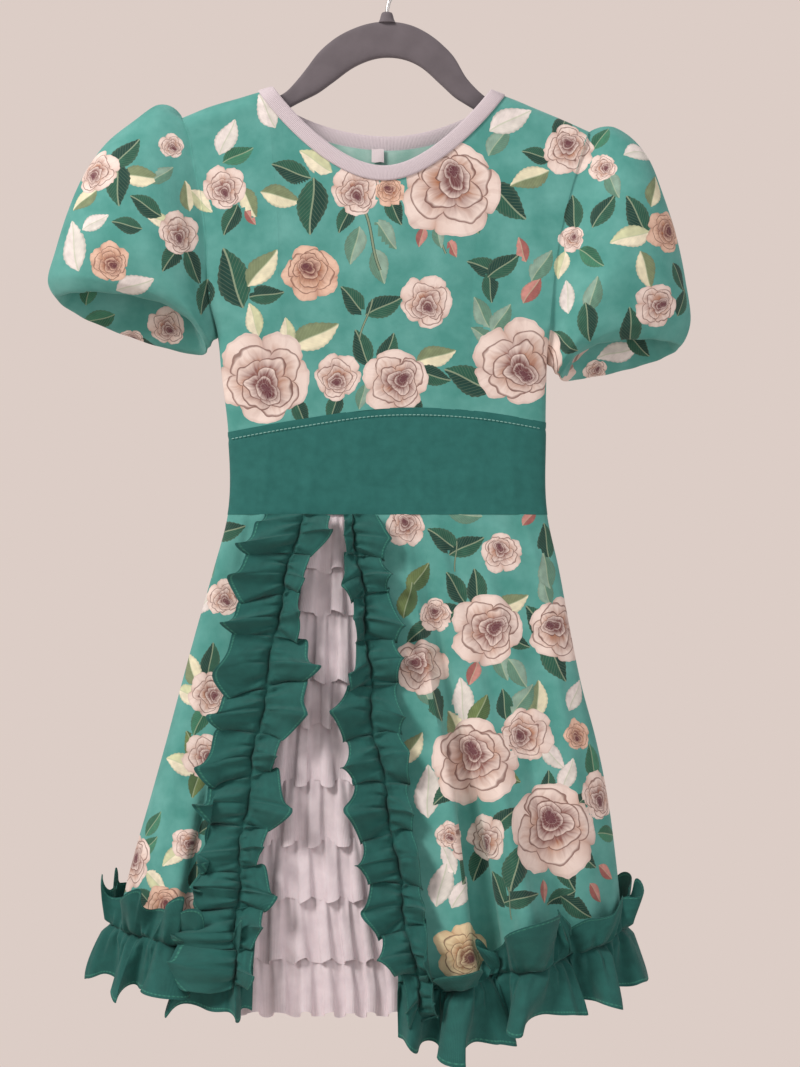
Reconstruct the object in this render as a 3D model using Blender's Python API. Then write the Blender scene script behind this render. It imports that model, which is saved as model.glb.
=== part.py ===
"""A girl's ruffle dress on its hanger.

The dress hangs nearly flat: printed bodice, puff sleeves, plain green waistband, a flared printed
skirt split in front over a white tiered insert, and green double ruffles on the split edges and hem.
Sizes are in millimetres in the tables and turn to metres in the meshes. +Z is up, the front faces -Y,
and the origin is the inside top of the hook, where the hanger bears on its rail.
"""

import math

import bmesh
import bpy
import numpy as np

# Driving sizes, in millimetres
MM = 0.001
WALL = 1.2
RUFFLE_WALL = 1.0
SEAM = 0.3
HALF_GAP = 0.3
EDGE_STEP = 0.0005
HOOK_RADIUS = 20.0
WIRE = 3.2
COLLAR_TOP = -60.0
HANGER_THICK = 8.0
ARM_DROP = 2.7
NECK_CENTRE = -4.3
NECK_HALF = 100.5
FRONT_NECK_DROP = 73.0
BACK_NECK_DROP = 45.0
BAND_WIDTH = 12.0
BAND_THICK = 1.8
SHOULDER_ROUND = 14.0
ARMPIT_LEFT = -328.0
ARMPIT_RIGHT = -350.0
WAIST_TOP = -471.0
SKIRT_TOP = -472.0
INSERT_RECESS = 14.0
INSERT_MARGIN = 14.0
EDGE_RECESS = 2.4
INSERT_LOW = -862.0
FRONT = -1.0
BACK = 1.0

# Lines across a ruffle, from one free edge over the gathered middle to the other
ACROSS = np.array([-1.0, -0.5, 0.0, 0.5, 1.0])

# Body sections: height, left x, right x, front depth, back depth, squareness of the section
BODY = [
    (-110, -186, 186, 11, 10, 6.0),
    (-145, -169, 173, 12, 10, 6.0),
    (-160, -162, 165, 12, 11, 6.0),
    (-181, -158, 158, 13, 11, 6.0),
    (-211, -152, 149, 14, 12, 6.0),
    (-240, -148, 142, 15, 12, 6.0),
    (-300, -144, 134, 16, 13, 5.5),
    (-330, -138, 132, 16, 13, 5.0),
    (-352, -136, 131, 16, 13, 5.0),
    (-405, -130, 130, 15, 12, 5.0),
    (-470, -130, 131, 15, 12, 5.0),
    (-517, -142, 141, 18, 15, 4.5),
    (-566, -156, 150, 23, 19, 4.0),
    (-610, -168, 159, 29, 23, 3.6),
    (-655, -180, 171, 35, 28, 3.3),
    (-705, -194, 181, 42, 33, 3.0),
    (-750, -207, 187, 48, 38, 2.8),
    (-790, -217, 191, 54, 42, 2.7),
    (-830, -224, 193, 58, 45, 2.6),
    (-900, -230, 196, 62, 48, 2.6),
]

# Shoulder line, continued straight over the neck: x, height
SHOULDER = [
    (-190, -155),
    (-164, -145),
    (-147, -138),
    (-120, -130),
    (-105, -125.5),
    (0, -126.5),
    (96, -128.5),
    (122, -139),
    (146, -149),
    (166, -158),
    (190, -168),
]

# Seam between bodice and waistband: x, height
WAIST_SEAM = [(-140, -406), (-70, -394), (0, -385), (70, -387), (140, -398)]

# Hem lines of the printed skirt: x, height
FRONT_HEM = [
    (-240, -800),
    (-190, -812),
    (-120, -828),
    (0, -842),
    (53, -848),
    (93, -836),
    (125, -832),
    (165, -818),
    (210, -802),
]
BACK_HEM = [(-240, -800), (-110, -822), (0, -828), (110, -824), (210, -802)]

# Edges of the front split, which the vertical ruffles follow: height, left edge x, right edge x
SPLIT = [
    (-472, -69, -29),
    (-530, -83, -20),
    (-585, -93, -15),
    (-640, -102, -11),
    (-694, -111, -1),
    (-742, -117, 7),
    (-800, -120, 16),
    (-850, -121, 26),
]

# Long soft folds of the skirt: side, x at waist, x at hem, height where it starts, half width, height
FOLDS = [
    (FRONT, 8, 62, -520, 14, 12),
    (FRONT, 22, 84, -520, 9, -9),
    (FRONT, 45, 122, -560, 17, 15),
    (FRONT, 66, 147, -580, 12, -7),
    (FRONT, 92, 170, -600, 15, 8),
    (FRONT, -112, -186, -600, 13, 7),
    (FRONT, -95, -162, -640, 9, -13),
    (FRONT, -80, -138, -620, 12, 5),
    (BACK, -88, -158, -540, 17, 10),
    (BACK, -62, -118, -560, 12, -8),
    (BACK, -38, -76, -530, 18, 13),
    (BACK, -12, -28, -570, 13, -9),
    (BACK, 14, 22, -540, 18, 14),
    (BACK, 40, 68, -560, 12, -8),
    (BACK, 62, 112, -530, 17, 12),
    (BACK, 92, 158, -580, 14, 8),
]

# Waves of each ruffle in order: share of length, reach on one side, reach on the other, lift
LEFT_RUFFLE = [
    (34, 42, 27, 11),
    (33, 41, 16, 12),
    (36, 40, 17, 12),
    (42, 38, 41, 14),
    (38, 38, 36, 12),
    (36, 40, 19, 12),
    (40, 39, 39, 13),
    (36, 37, 18, 11),
    (30, 34, 33, 10),
]
RIGHT_RUFFLE = [
    (36, 28, 8, 9),
    (34, 24, 17, 11),
    (38, 32, 8, 12),
    (38, 28, 13, 12),
    (40, 28, 33, 13),
    (40, 27, 30, 12),
    (42, 22, 33, 13),
    (42, 22, 32, 12),
    (36, 20, 32, 11),
]
HEM_LEFT = [
    (26, 36, 44, 13),
    (31, 38, 46, 15),
    (27, 36, 38, 12),
    (33, 38, 46, 16),
    (28, 34, 40, 12),
]
HEM_RIGHT = [
    (33, 35, 48, 14),
    (31, 37, 52, 16),
    (29, 36, 48, 13),
    (38, 38, 46, 17),
    (29, 38, 40, 13),
    (34, 36, 44, 15),
    (28, 40, 42, 13),
]
HEM_BACK = [
    (29, 37, 42, 13),
    (32, 36, 44, 15),
    (27, 38, 40, 12),
    (31, 36, 45, 16),
    (34, 38, 42, 14),
    (28, 35, 44, 13),
    (33, 38, 40, 16),
    (26, 36, 43, 12),
    (32, 38, 45, 15),
    (30, 36, 41, 14),
    (28, 38, 44, 13),
    (33, 36, 42, 16),
    (29, 38, 40, 13),
    (31, 36, 44, 14),
]

# Tiers of the white insert: bottom height, pleats, height of its top edge over the base panel
TIERS = [
    (-517, 3, 2.9),
    (-552, 3, 2.9),
    (-607, 4, 2.9),
    (-642, 5, 2.3),
    (-688, 5, 1.8),
    (-736, 6, 2.1),
    (-780, 7, 2.9),
    (-828, 8, 2.9),
    (-870, 8, 2.9),
]

# Sleeve rings, fanned about the armpit: outer x and height, inner x and height, half depth,
# tilt that drops the back, lift of the front beside the body
LEFT_SLEEVE = [
    (-166, -148, -139.0, -326.0, 11, 0, 0),
    (-184, -139, -141.5, -328.5, 21, 0, 1),
    (-207, -153, -143.0, -330.5, 30, 1, 3),
    (-230, -170, -144.5, -332.5, 35, 3, 7),
    (-247, -194, -145.5, -334.0, 38, 5, 12),
    (-260, -224, -146.5, -335.5, 38, 8, 17),
    (-271, -256, -147.5, -336.5, 35, 10, 21),
    (-277, -282, -149.0, -337.0, 31, 12, 23),
    (-268, -299, -152.0, -335.5, 26, 12, 22),
    (-257, -293, -158.0, -328.0, 21, 10, 17),
    (-252, -281, -163.0, -317.0, 18, 8, 12),
]
RIGHT_SLEEVE = [
    (167, -161, 132.5, -348.0, 11, 0, 0),
    (181, -157, 134.5, -350.5, 20, 0, 1),
    (199, -166, 136.0, -353.0, 28, 1, 3),
    (215, -184, 137.5, -355.0, 33, 2, 6),
    (226, -212, 139.0, -356.5, 36, 4, 10),
    (236, -244, 140.5, -358.0, 36, 6, 13),
    (244, -279, 142.0, -359.0, 34, 8, 15),
    (248, -314, 144.0, -359.5, 30, 9, 16),
    (239, -338, 148.0, -358.0, 25, 9, 15),
    (229, -333, 154.0, -350.0, 20, 8, 12),
    (224, -321, 158.0, -339.0, 17, 6, 9),
]

# Gathers of a sleeve head: angle round the ring from the top, half width, height
HEAD_GATHERS = [
    (-64, 10, 3.0),
    (-41, 9, 4.0),
    (-20, 8, 3.2),
    (2, 8, 4.2),
    (23, 8, 3.4),
    (45, 10, 4.4),
    (70, 11, 3.0),
]

# Hanger between the shoulders: x, top height, bottom height
HANGER = [
    (-92, -130.4, -145.5),
    (-82, -124.5, -139.5),
    (-74, -116.0, -135.0),
    (-66, -106.0, -131.0),
    (-57, -94.0, -126.5),
    (-45, -83.0, -118.0),
    (-27, -73.0, -105.0),
    (0, -67.5, -97.0),
    (28, -74.0, -105.0),
    (45, -86.0, -120.0),
    (56, -98.0, -130.0),
    (64, -112.0, -135.0),
    (73, -122.5, -140.5),
    (86, -133.4, -149.0),
]
HANGER_TIP_LEFT = -157.0
HANGER_TIP_RIGHT = 158.0


def clear_scene():
    for thing in list(bpy.data.objects):
        bpy.data.objects.remove(thing)


def material(name, colour, roughness, metallic=0.0):
    """A Principled material with one colour, given as linear red, green and blue."""
    made = bpy.data.materials.new(name)
    made.use_nodes = True
    shader = made.node_tree.nodes["Principled BSDF"]
    shader.inputs["Base Color"].default_value = (*colour, 1.0)
    shader.inputs["Roughness"].default_value = roughness
    shader.inputs["Metallic"].default_value = metallic
    made.diffuse_color = (*colour, 1.0)
    return made


def smooth(table, column, at):
    """The table's column at these places, on a smooth curve through its rows."""
    rows = np.array(sorted(row[: column + 1] for row in table), float)
    place, value = rows[:, 0], rows[:, column]
    slope = np.gradient(value, place)
    at = np.clip(at, place[0], place[-1])
    i = np.clip(np.searchsorted(place, at) - 1, 0, len(place) - 2)
    step = place[i + 1] - place[i]
    t = (at - place[i]) / step
    low = (1 + 2 * t) * (1 - t) ** 2 * value[i] + t * (1 - t) ** 2 * step * slope[i]
    high = t**2 * (3 - 2 * t) * value[i + 1] + t**2 * (t - 1) * step * slope[i + 1]
    return low + high


def ease(t):
    t = np.clip(t, 0, 1)
    return t * t * (3 - 2 * t)


def fold_depth(x, z, side):
    """How far the skirt's long folds stand out of its section."""
    out = np.zeros_like(x)
    for face, waist_x, hem_x, start, half, height in FOLDS:
        if face != side:
            continue
        down = (SKIRT_TOP - z) / (SKIRT_TOP + 840)
        centre = waist_x + (hem_x - waist_x) * down
        grown = ease((start - z) / (start + 860))
        width = half * (0.5 + 0.5 * np.clip(down, 0, 1.2))
        out = out + height * grown * np.exp(-(((x - centre) / width) ** 2))
    return out


def body(f, z, side, folded=True):
    """Outer surface of the dress: f runs 0 to 1 from left to right, side is FRONT or BACK."""
    f, z = np.broadcast_arrays(np.asarray(f, float), np.asarray(z, float))
    left, right = smooth(BODY, 1, z), smooth(BODY, 2, z)
    depth = smooth(BODY, 3 if side == FRONT else 4, z)
    square = smooth(BODY, 5, z)
    x = left + f * (right - left)
    across = np.abs(2 * f - 1)
    profile = (1 - np.clip(across, 0, 1) ** square) ** (1 / square)
    armpit = np.where(f < 0.5, ARMPIT_LEFT, ARMPIT_RIGHT)
    armhole = ease((z - armpit - 2) / 34)
    profile = profile + (1 - profile) * armhole
    below = np.clip((smooth(SHOULDER, 1, x) - z) / SHOULDER_ROUND, 0, 1)
    profile = profile * np.sqrt(1 - (1 - below) ** 2)
    folds = fold_depth(x, z, side) * (1 - across**6) if folded else 0.0
    return np.stack([x, side * (HALF_GAP + depth * profile + folds), z], -1)


def outward(f, z, side):
    """Unit normals of the body's surface, pointing away from the wearer."""
    df, dz = 0.004, 1.5
    along = body(np.clip(f + df, 0, 1), z, side) - body(np.clip(f - df, 0, 1), z, side)
    up = body(f, z + dz, side) - body(f, z - dz, side)
    normal = np.cross(along, up) * -side
    return normal / np.maximum(np.linalg.norm(normal, axis=-1, keepdims=True), 1e-9)


def f_at(x, z):
    left, right = smooth(BODY, 1, z), smooth(BODY, 2, z)
    return (x - left) / (right - left)


def top_edge(x, side):
    """Height of the bodice's upper edge at x: shoulder, and the neckline between the tips."""
    across = np.clip(np.abs((x - NECK_CENTRE) / NECK_HALF), 0, 1)
    if side == FRONT:
        drop = FRONT_NECK_DROP * (1 - across**2) ** 0.9
    else:
        drop = BACK_NECK_DROP * (1 - across**2.6) ** 0.6
    return smooth(SHOULDER, 1, x) - drop


def top_of_column(f, side):
    """Height at which a column of the bodice meets its upper edge."""
    low, high = np.full_like(f, -260.0), np.full_like(f, -118.0)
    for _ in range(40):
        middle = (low + high) / 2
        over = middle > top_edge(body(f, middle, side)[..., 0], side)
        high = np.where(over, middle, high)
        low = np.where(over, low, middle)
    return (low + high) / 2


def closed_mesh(name, points, faces, finish):
    """A closed solid from its points and faces, shaded smooth with its sharp edges kept."""
    mesh = bpy.data.meshes.new(name)
    mesh.from_pydata((np.array(points).reshape(-1, 3) * MM).tolist(), [], faces)
    shape = bmesh.new()
    shape.from_mesh(mesh)
    bmesh.ops.recalc_face_normals(shape, faces=shape.faces)
    shape.to_mesh(mesh)
    shape.free()
    mesh.shade_smooth()
    mesh.set_sharp_from_angle(angle=math.radians(50))
    made = bpy.data.objects.new(name, mesh)
    bpy.context.scene.collection.objects.link(made)
    mesh.materials.append(finish)


def sheet(name, points, thickness, finish, offset=-1.0, ring=False, flip=False):
    """A closed wall from a grid of points, rows by columns. The wall lies on the inner side."""
    rows, columns = points.shape[:2]
    faces = []
    for r in range(rows - 1):
        for c in range(columns if ring else columns - 1):
            d = (c + 1) % columns
            quad = (r * columns + c, r * columns + d, (r + 1) * columns + d, (r + 1) * columns + c)
            faces.append(quad[::-1] if flip else quad)
    mesh = bpy.data.meshes.new(name)
    mesh.from_pydata((points.reshape(-1, 3) * MM).tolist(), [], faces)
    mesh.shade_smooth()
    made = bpy.data.objects.new(name, mesh)
    bpy.context.scene.collection.objects.link(made)
    made.data.materials.append(finish)
    wall = made.modifiers.new("Wall", "SOLIDIFY")
    wall.thickness = thickness * MM
    wall.offset = offset
    return made


def solid(name, points, finish):
    """A closed solid from a grid of rings: each row is a closed ring, the ends are capped."""
    rows, columns = points.shape[:2]
    faces = []
    for r in range(rows - 1):
        for c in range(columns):
            d = (c + 1) % columns
            faces.append((r * columns + c, r * columns + d, (r + 1) * columns + d, (r + 1) * columns + c))
    faces.append(tuple(range(columns)))
    faces.append(tuple(range((rows - 1) * columns, rows * columns)))
    closed_mesh(name, points, faces, finish)


def whole_columns(count, crowding):
    """Places from 0 to 1 across a front or back, closer together at the rounded sides."""
    half = 0.5 * np.linspace(0, 1, count) ** crowding
    half = np.concatenate([[0, EDGE_STEP], half[1:]])
    return np.concatenate([half, 1 - half[-2::-1]])


def neck_columns(count):
    """Places across the neck, closer together at its two tips."""
    tips = []
    for x in (NECK_CENTRE - NECK_HALF, NECK_CENTRE + NECK_HALF):
        height = float(smooth(SHOULDER, 1, x))
        tips.append(float(f_at(x, height)))
    t = 0.5 - 0.5 * np.cos(np.linspace(0, math.pi, count))
    return tips[0] + (tips[1] - tips[0]) * t


def bodice(name, side, neck_count, finish):
    """Front or back of the bodice, from the waist seam to the shoulders and the neckline."""
    neck = neck_columns(neck_count)
    shares = np.array([0, 0.003, 0.1, 0.35, 0.7])
    left = neck[0] * shares
    right = 1 - (1 - neck[-1]) * shares[::-1]
    f = np.concatenate([left, neck, right])
    top = top_of_column(f, side)
    low = smooth(WAIST_SEAM, 1, body(f, -395.0, side)[:, 0]) + SEAM
    rows = [low + (top - SHOULDER_ROUND - low) * t for t in np.linspace(0, 1, 8)]
    rows += [top - drop for drop in (6.5, 2.2, 0.7, 0.0)]
    grid = np.stack([body(f, z, side) for z in rows])
    sheet(name, grid, WALL, finish, flip=side == BACK)


def neckband(finish):
    """A closed ring round the neck, its outer edge just inside the neckline seam."""
    f = neck_columns(15)
    front = body(f, top_of_column(f, FRONT), FRONT)
    back = body(f, top_of_column(f, BACK), BACK)[::-1]
    loop = np.concatenate([front[:-1], back[:-1]])
    loop[0, 1] = loop[len(f) - 1, 1] = 0.0
    ahead, behind = np.roll(loop, -1, 0), np.roll(loop, 1, 0)
    tangent = ahead - behind
    tangent /= np.linalg.norm(tangent, axis=1, keepdims=True)
    centre = np.array([NECK_CENTRE, 0, -100.0])
    inward = np.stack([tangent[:, 2], np.zeros(len(loop)), -tangent[:, 0]], 1)
    towards = ((centre - loop) * inward).sum(1, keepdims=True)
    inward = inward * np.sign(towards)
    inward[0] = (1, 0, 0.3)
    inward[len(f) - 1] = (-1, 0, 0.3)
    inward /= np.linalg.norm(inward, axis=1, keepdims=True)
    tangent -= inward * (tangent * inward).sum(1, keepdims=True)
    tangent /= np.linalg.norm(tangent, axis=1, keepdims=True)
    out = np.cross(inward, tangent)
    edge = 2 * SEAM
    section = [(edge, 0), (BAND_WIDTH / 2, 0.5), (BAND_WIDTH, 0), (BAND_WIDTH, -BAND_THICK), (edge, -BAND_THICK)]
    ring = np.stack([loop + inward * across + out * up for across, up in section], 1)
    count, corners = ring.shape[:2]
    faces = []
    for r in range(count):
        for c in range(corners):
            d, s = (c + 1) % corners, (r + 1) % count
            faces.append((r * corners + c, r * corners + d, s * corners + d, s * corners + c))
    closed_mesh("neckband", ring, faces, finish)


def neck_tab(finish):
    """A plain folded tab on the inside of the back neck."""
    width, height, thick = 10.0, 11.0, 0.8
    f, z = 0.475, -176.0
    x, y, _ = body(f, z, BACK)
    inner = y - WALL - 0.7
    outline = [(-1, -1), (1, -1), (1, 1), (-1, 1)]
    rings = []
    for depth in (inner - thick, inner):
        rings.append([(x + a * width / 2, depth, z + b * height / 2) for a, b in outline])
    solid("neck_tab", np.array(rings), finish)


def sleeve(name, table, count, side_x, finish):
    """A puff sleeve: rings fanned about the armpit, gathered at the head, hem rolled under."""
    angle = np.linspace(0, 2 * math.pi, count, endpoint=False)
    cosine, sine = np.cos(angle), np.sin(angle)
    rings = []
    for index, (out_x, out_z, in_x, in_z, half, tilt, lift) in enumerate(table):
        x = (out_x + in_x) / 2 + (out_x - in_x) / 2 * cosine
        z = (out_z + in_z) / 2 + (out_z - in_z) / 2 * cosine
        y = -half * np.sign(sine) * np.abs(sine) ** 0.85
        z = z + tilt * sine + lift * np.maximum(sine, 0) * (0.5 - 0.5 * cosine)
        if index == 0:
            column = 1 if side_x < 0 else 2
            x = smooth(BODY, column, z) + side_x * 2 * SEAM
            edge = body(np.full_like(z, 0.0 if side_x < 0 else 1.0), z, FRONT)[:, 1]
            y = -np.sign(sine) * np.maximum(np.abs(edge), 0.4) * (np.abs(sine) > 0.01)
        ring = np.stack([x, y, z], 1)
        fade = max(0.0, 1 - abs(index - 1.4) / 3.4) if index else 0.15
        middle = ring.mean(0)
        degrees = (np.degrees(angle) + 180) % 360 - 180
        bump = sum(h * np.exp(-(((degrees - a) / w) ** 2)) for a, w, h in HEAD_GATHERS)
        away = ring - middle
        away /= np.linalg.norm(away, axis=1, keepdims=True)
        rings.append(ring + away * (bump * fade)[:, None])
    sheet(name, np.array(rings), WALL, finish, ring=True, flip=side_x < 0)


def waistband(name, side, finish):
    """One half of the green waistband."""
    f = whole_columns(8, 1.7)
    top = smooth(WAIST_SEAM, 1, body(f, -395.0, side)[:, 0])
    low = np.full_like(top, WAIST_TOP)
    grid = np.stack([body(f, low + (top - low) * t, side) for t in np.linspace(0, 1, 4)])
    sheet(name, grid, WALL, finish, flip=side == BACK)


def skirt_panel(name, side, start, end, shares, rows, finish):
    """A panel of the printed skirt between two functions of height that give f."""
    hem_table = FRONT_HEM if side == FRONT else BACK_HEM
    grid = []
    for t in np.linspace(0, 1, rows):
        z = np.full_like(shares, SKIRT_TOP - 0.1)
        for _ in range(12):
            f = start(z) + (end(z) - start(z)) * shares
            hem = smooth(hem_table, 1, body(f, z, side)[:, 0])
            z = SKIRT_TOP + (hem - SKIRT_TOP) * t
        grid.append(body(f, z, side))
    sheet(name, np.array(grid), WALL, finish, flip=side == FRONT)


def split_f(column):
    return lambda z: f_at(smooth(SPLIT, column, z), z)


def wave_at(waves, t):
    """Phase, the two reaches and the lift at each share t of a ruffle's length."""
    table = np.array(waves, float)
    ends = np.concatenate([[0], np.cumsum(table[:, 0])])
    at = np.asarray(t) * ends[-1]
    middles = (ends[:-1] + ends[1:]) / 2
    phase = 2 * math.pi * np.interp(at, ends, np.arange(len(ends)))
    return [phase] + [np.interp(at, middles, table[:, column]) for column in (1, 2, 3)]


def crossed(waves, per_wave):
    """Shares of length at which a ruffle is cut, evenly within each wave."""
    table = np.array(waves, float)
    ends = np.concatenate([[0], np.cumsum(table[:, 0])]) / table[:, 0].sum()
    count = len(waves) * per_wave + 1
    return np.interp(np.linspace(0, len(waves), count), np.arange(len(ends)), ends)


def ruffle_rise(across, phase, lift, clear):
    """Distance of a ruffle's middle surface from the cloth that it is sewn to."""
    swell = 0.5 - 0.5 * np.cos(phase)
    spread = np.abs(across) ** 0.8
    return clear + 1.5 * swell + spread * (1.2 + lift * swell)


def vertical_ruffle(name, waves, column, outer_sign, low, clear, finish):
    """A double ruffle down one edge of the split: outer half on the print, inner on the insert."""
    t = crossed(waves, 6)
    phase, outer, inner, lift = wave_at(waves, t)
    high = SKIRT_TOP - 1.5
    rows = []
    for across in ACROSS:
        reach = outer if across * outer_sign > 0 else inner
        reach = reach * (0.9 - 0.1 * np.cos(phase))
        slip = 3.2 * abs(across) * np.sin(phase)
        z = np.clip(high + (low - high) * t + slip, low, high)
        x = smooth(SPLIT, column, z) + across * reach
        f = f_at(x, z)
        rise = ruffle_rise(across, phase, lift, clear)
        rows.append(body(f, z, FRONT) + outward(f, z, FRONT) * rise[:, None])
    sheet(name, np.array(rows), RUFFLE_WALL, finish, offset=0.0)


def hem_ruffle(name, waves, side, start_x, end_x, clear, finish):
    """A double ruffle along the hem: upper half on the print, lower half hanging free."""
    t = crossed(waves, 5)
    phase, upper, lower, lift = wave_at(waves, t)
    hem_table = FRONT_HEM if side == FRONT else BACK_HEM
    rough = np.linspace(0, 1, 400)
    start_f, end_f = (float(f_at(x, -815.0)) for x in (start_x, end_x))
    path = body(start_f + (end_f - start_f) * rough, -815.0, side)
    length = np.concatenate([[0], np.cumsum(np.linalg.norm(np.diff(path, axis=0), axis=1))])
    f = start_f + (end_f - start_f) * np.interp(t * length[-1], length, rough)
    f = np.clip(f, 0.0006, 0.9994)
    hem = smooth(hem_table, 1, body(f, -815.0, side)[:, 0])
    rows = []
    for across in ACROSS:
        reach = (upper if across < 0 else lower) * (0.93 - 0.07 * np.cos(phase))
        rise = ruffle_rise(across, phase, lift, clear)
        z = hem - across * reach
        at = body(f, z, side) if across < 0 else body(f, hem, side)
        out = outward(f, np.maximum(z, hem - 1), side)
        out[:, 2] = 0
        out /= np.linalg.norm(out, axis=1, keepdims=True)
        hang = max(across, 0) * reach
        points = at + out * (rise + 0.12 * hang)[:, None]
        points[:, 2] = z
        rows.append(points)
    sheet(name, np.array(rows), RUFFLE_WALL, finish, offset=0.0)


def insert_depth(x, z):
    """How far the white insert lies behind the printed skirt's surface."""
    middle = 5 + (INSERT_RECESS - 5) * ease((SKIRT_TOP - z) / 60)
    edge = np.minimum(x - smooth(SPLIT, 1, z), smooth(SPLIT, 2, z) - x) + INSERT_MARGIN
    return EDGE_RECESS + (middle - EDGE_RECESS) * ease(edge / 12)


def insert_point(share, z, margin, rise):
    """A point of the insert: share runs across it, rise stands it off the base panel."""
    left, right = smooth(SPLIT, 1, z) - margin, smooth(SPLIT, 2, z) + margin
    x = left + share * (right - left)
    depth = insert_depth(x, z) - rise
    return body(f_at(x, z), z, FRONT, folded=False) + np.stack([0 * depth, depth, 0 * depth], -1)


def insert_base(finish):
    share = np.array([0, 0.04, 0.09, 0.18, 0.3, 0.43, 0.57, 0.7, 0.82, 0.91, 0.96, 1])
    rows = []
    for t in np.linspace(0, 1, 13) ** 1.5:
        z = np.full_like(share, SKIRT_TOP - 0.4 + (INSERT_LOW - SKIRT_TOP) * t)
        rows.append(insert_point(share, z, INSERT_MARGIN, np.zeros_like(share)))
    sheet("insert_base", np.array(rows), 1.0, finish, flip=True)


def insert_tier(index, finish):
    """One gathered white tier, flaring from its seam to its free bottom edge."""
    bottom, pleats, seat = TIERS[index]
    top = TIERS[index - 1][0] + 8 if index else SKIRT_TOP - 1.0
    share = np.linspace(0, 1, 4 * pleats + 1)
    phase = 2 * math.pi * pleats * (share + 0.02 * np.sin(7 * share + index))
    rows = []
    for t in (0.0, 0.45, 1.0):
        z = np.full_like(share, top + (bottom - top) * t)
        z = z + 2.5 * t * np.cos(phase + 0.8 * index)
        room = insert_depth(np.full_like(z, smooth(SPLIT, 1, z).mean() + 20), z) - 4.6
        rise = seat + np.maximum(room - 1.4, 0.3) * t * (0.72 + 0.28 * np.cos(phase))
        rows.append(insert_point(share, z, 2, rise))
    sheet(f"tier_{index + 1}", np.array(rows), 1.0, finish, flip=True)


def hanger(finish):
    """The moulded hanger: an arched bar with round edges, its arms lying along the shoulders."""
    left = np.linspace(HANGER_TIP_LEFT, -98, 8)
    right = np.linspace(92, HANGER_TIP_RIGHT, 8)
    middle = np.linspace(-92, 86, 21)
    x = np.concatenate([left, middle, right])
    drop = ARM_DROP + 2.6 * (1 - ease((np.abs(x - NECK_CENTRE) - 98) / 14))
    top = np.where(np.abs(x + 3) > 90, smooth(SHOULDER, 1, x) - drop, smooth(HANGER, 1, x))
    depth = 16 - 6 * ease((np.abs(x) - 95) / 60)
    bottom = np.where(np.abs(x + 3) > 90, top - depth, smooth(HANGER, 2, x))
    h = HANGER_THICK / 2
    rings = []
    for at, high, low in zip(x, top, bottom):
        section = [(0, high), (0.7 * h, high - 1.3), (h, high - 4), (h, low + 3), (0.6 * h, low)]
        section += [(-y, z) for y, z in section[:0:-1]]
        rings.append([(at, -y, z) for y, z in section])
    solid("hanger_body", np.array(rings), finish)
    collar = []
    for z, radius in ((-67.2, 6.5), (-63.0, 5.4), (COLLAR_TOP, 4.0)):
        turn = np.linspace(0, 2 * math.pi, 14, endpoint=False)
        collar.append([(radius * math.cos(a), radius * math.sin(a), z) for a in turn])
    solid("hanger_collar", np.array(collar), finish)


def hook(finish):
    """The wire hook: a stem that swings out and turns over the rail."""
    radius = HOOK_RADIUS + WIRE / 2
    centre = -HOOK_RADIUS
    start = math.radians(-50)
    join = np.array([radius * math.cos(start), centre + radius * math.sin(start)])
    lean = np.array([-math.sin(start), math.cos(start)])
    handles = [np.array([0, COLLAR_TOP + SEAM]), np.array([0, -47.0]), join - 10 * lean, join]
    path = []
    for t in np.linspace(0, 1, 9)[:-1]:
        a, b, c, d = handles
        path.append((1 - t) ** 3 * a + 3 * t * (1 - t) ** 2 * b + 3 * t**2 * (1 - t) * c + t**3 * d)
    for turn in np.linspace(start, math.radians(200), 20):
        path.append(np.array([radius * math.cos(turn), centre + radius * math.sin(turn)]))
    curve = bpy.data.curves.new("hanger_hook", "CURVE")
    curve.dimensions = "3D"
    curve.bevel_depth = WIRE / 2 * MM
    curve.bevel_resolution = 2
    curve.use_fill_caps = True
    spline = curve.splines.new("POLY")
    spline.points.add(len(path) - 1)
    for point, (x, z) in zip(spline.points, path):
        point.co = (x * MM, 0.0, z * MM, 1.0)
    made = bpy.data.objects.new("hanger_hook", curve)
    bpy.context.scene.collection.objects.link(made)
    curve.materials.append(finish)


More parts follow.
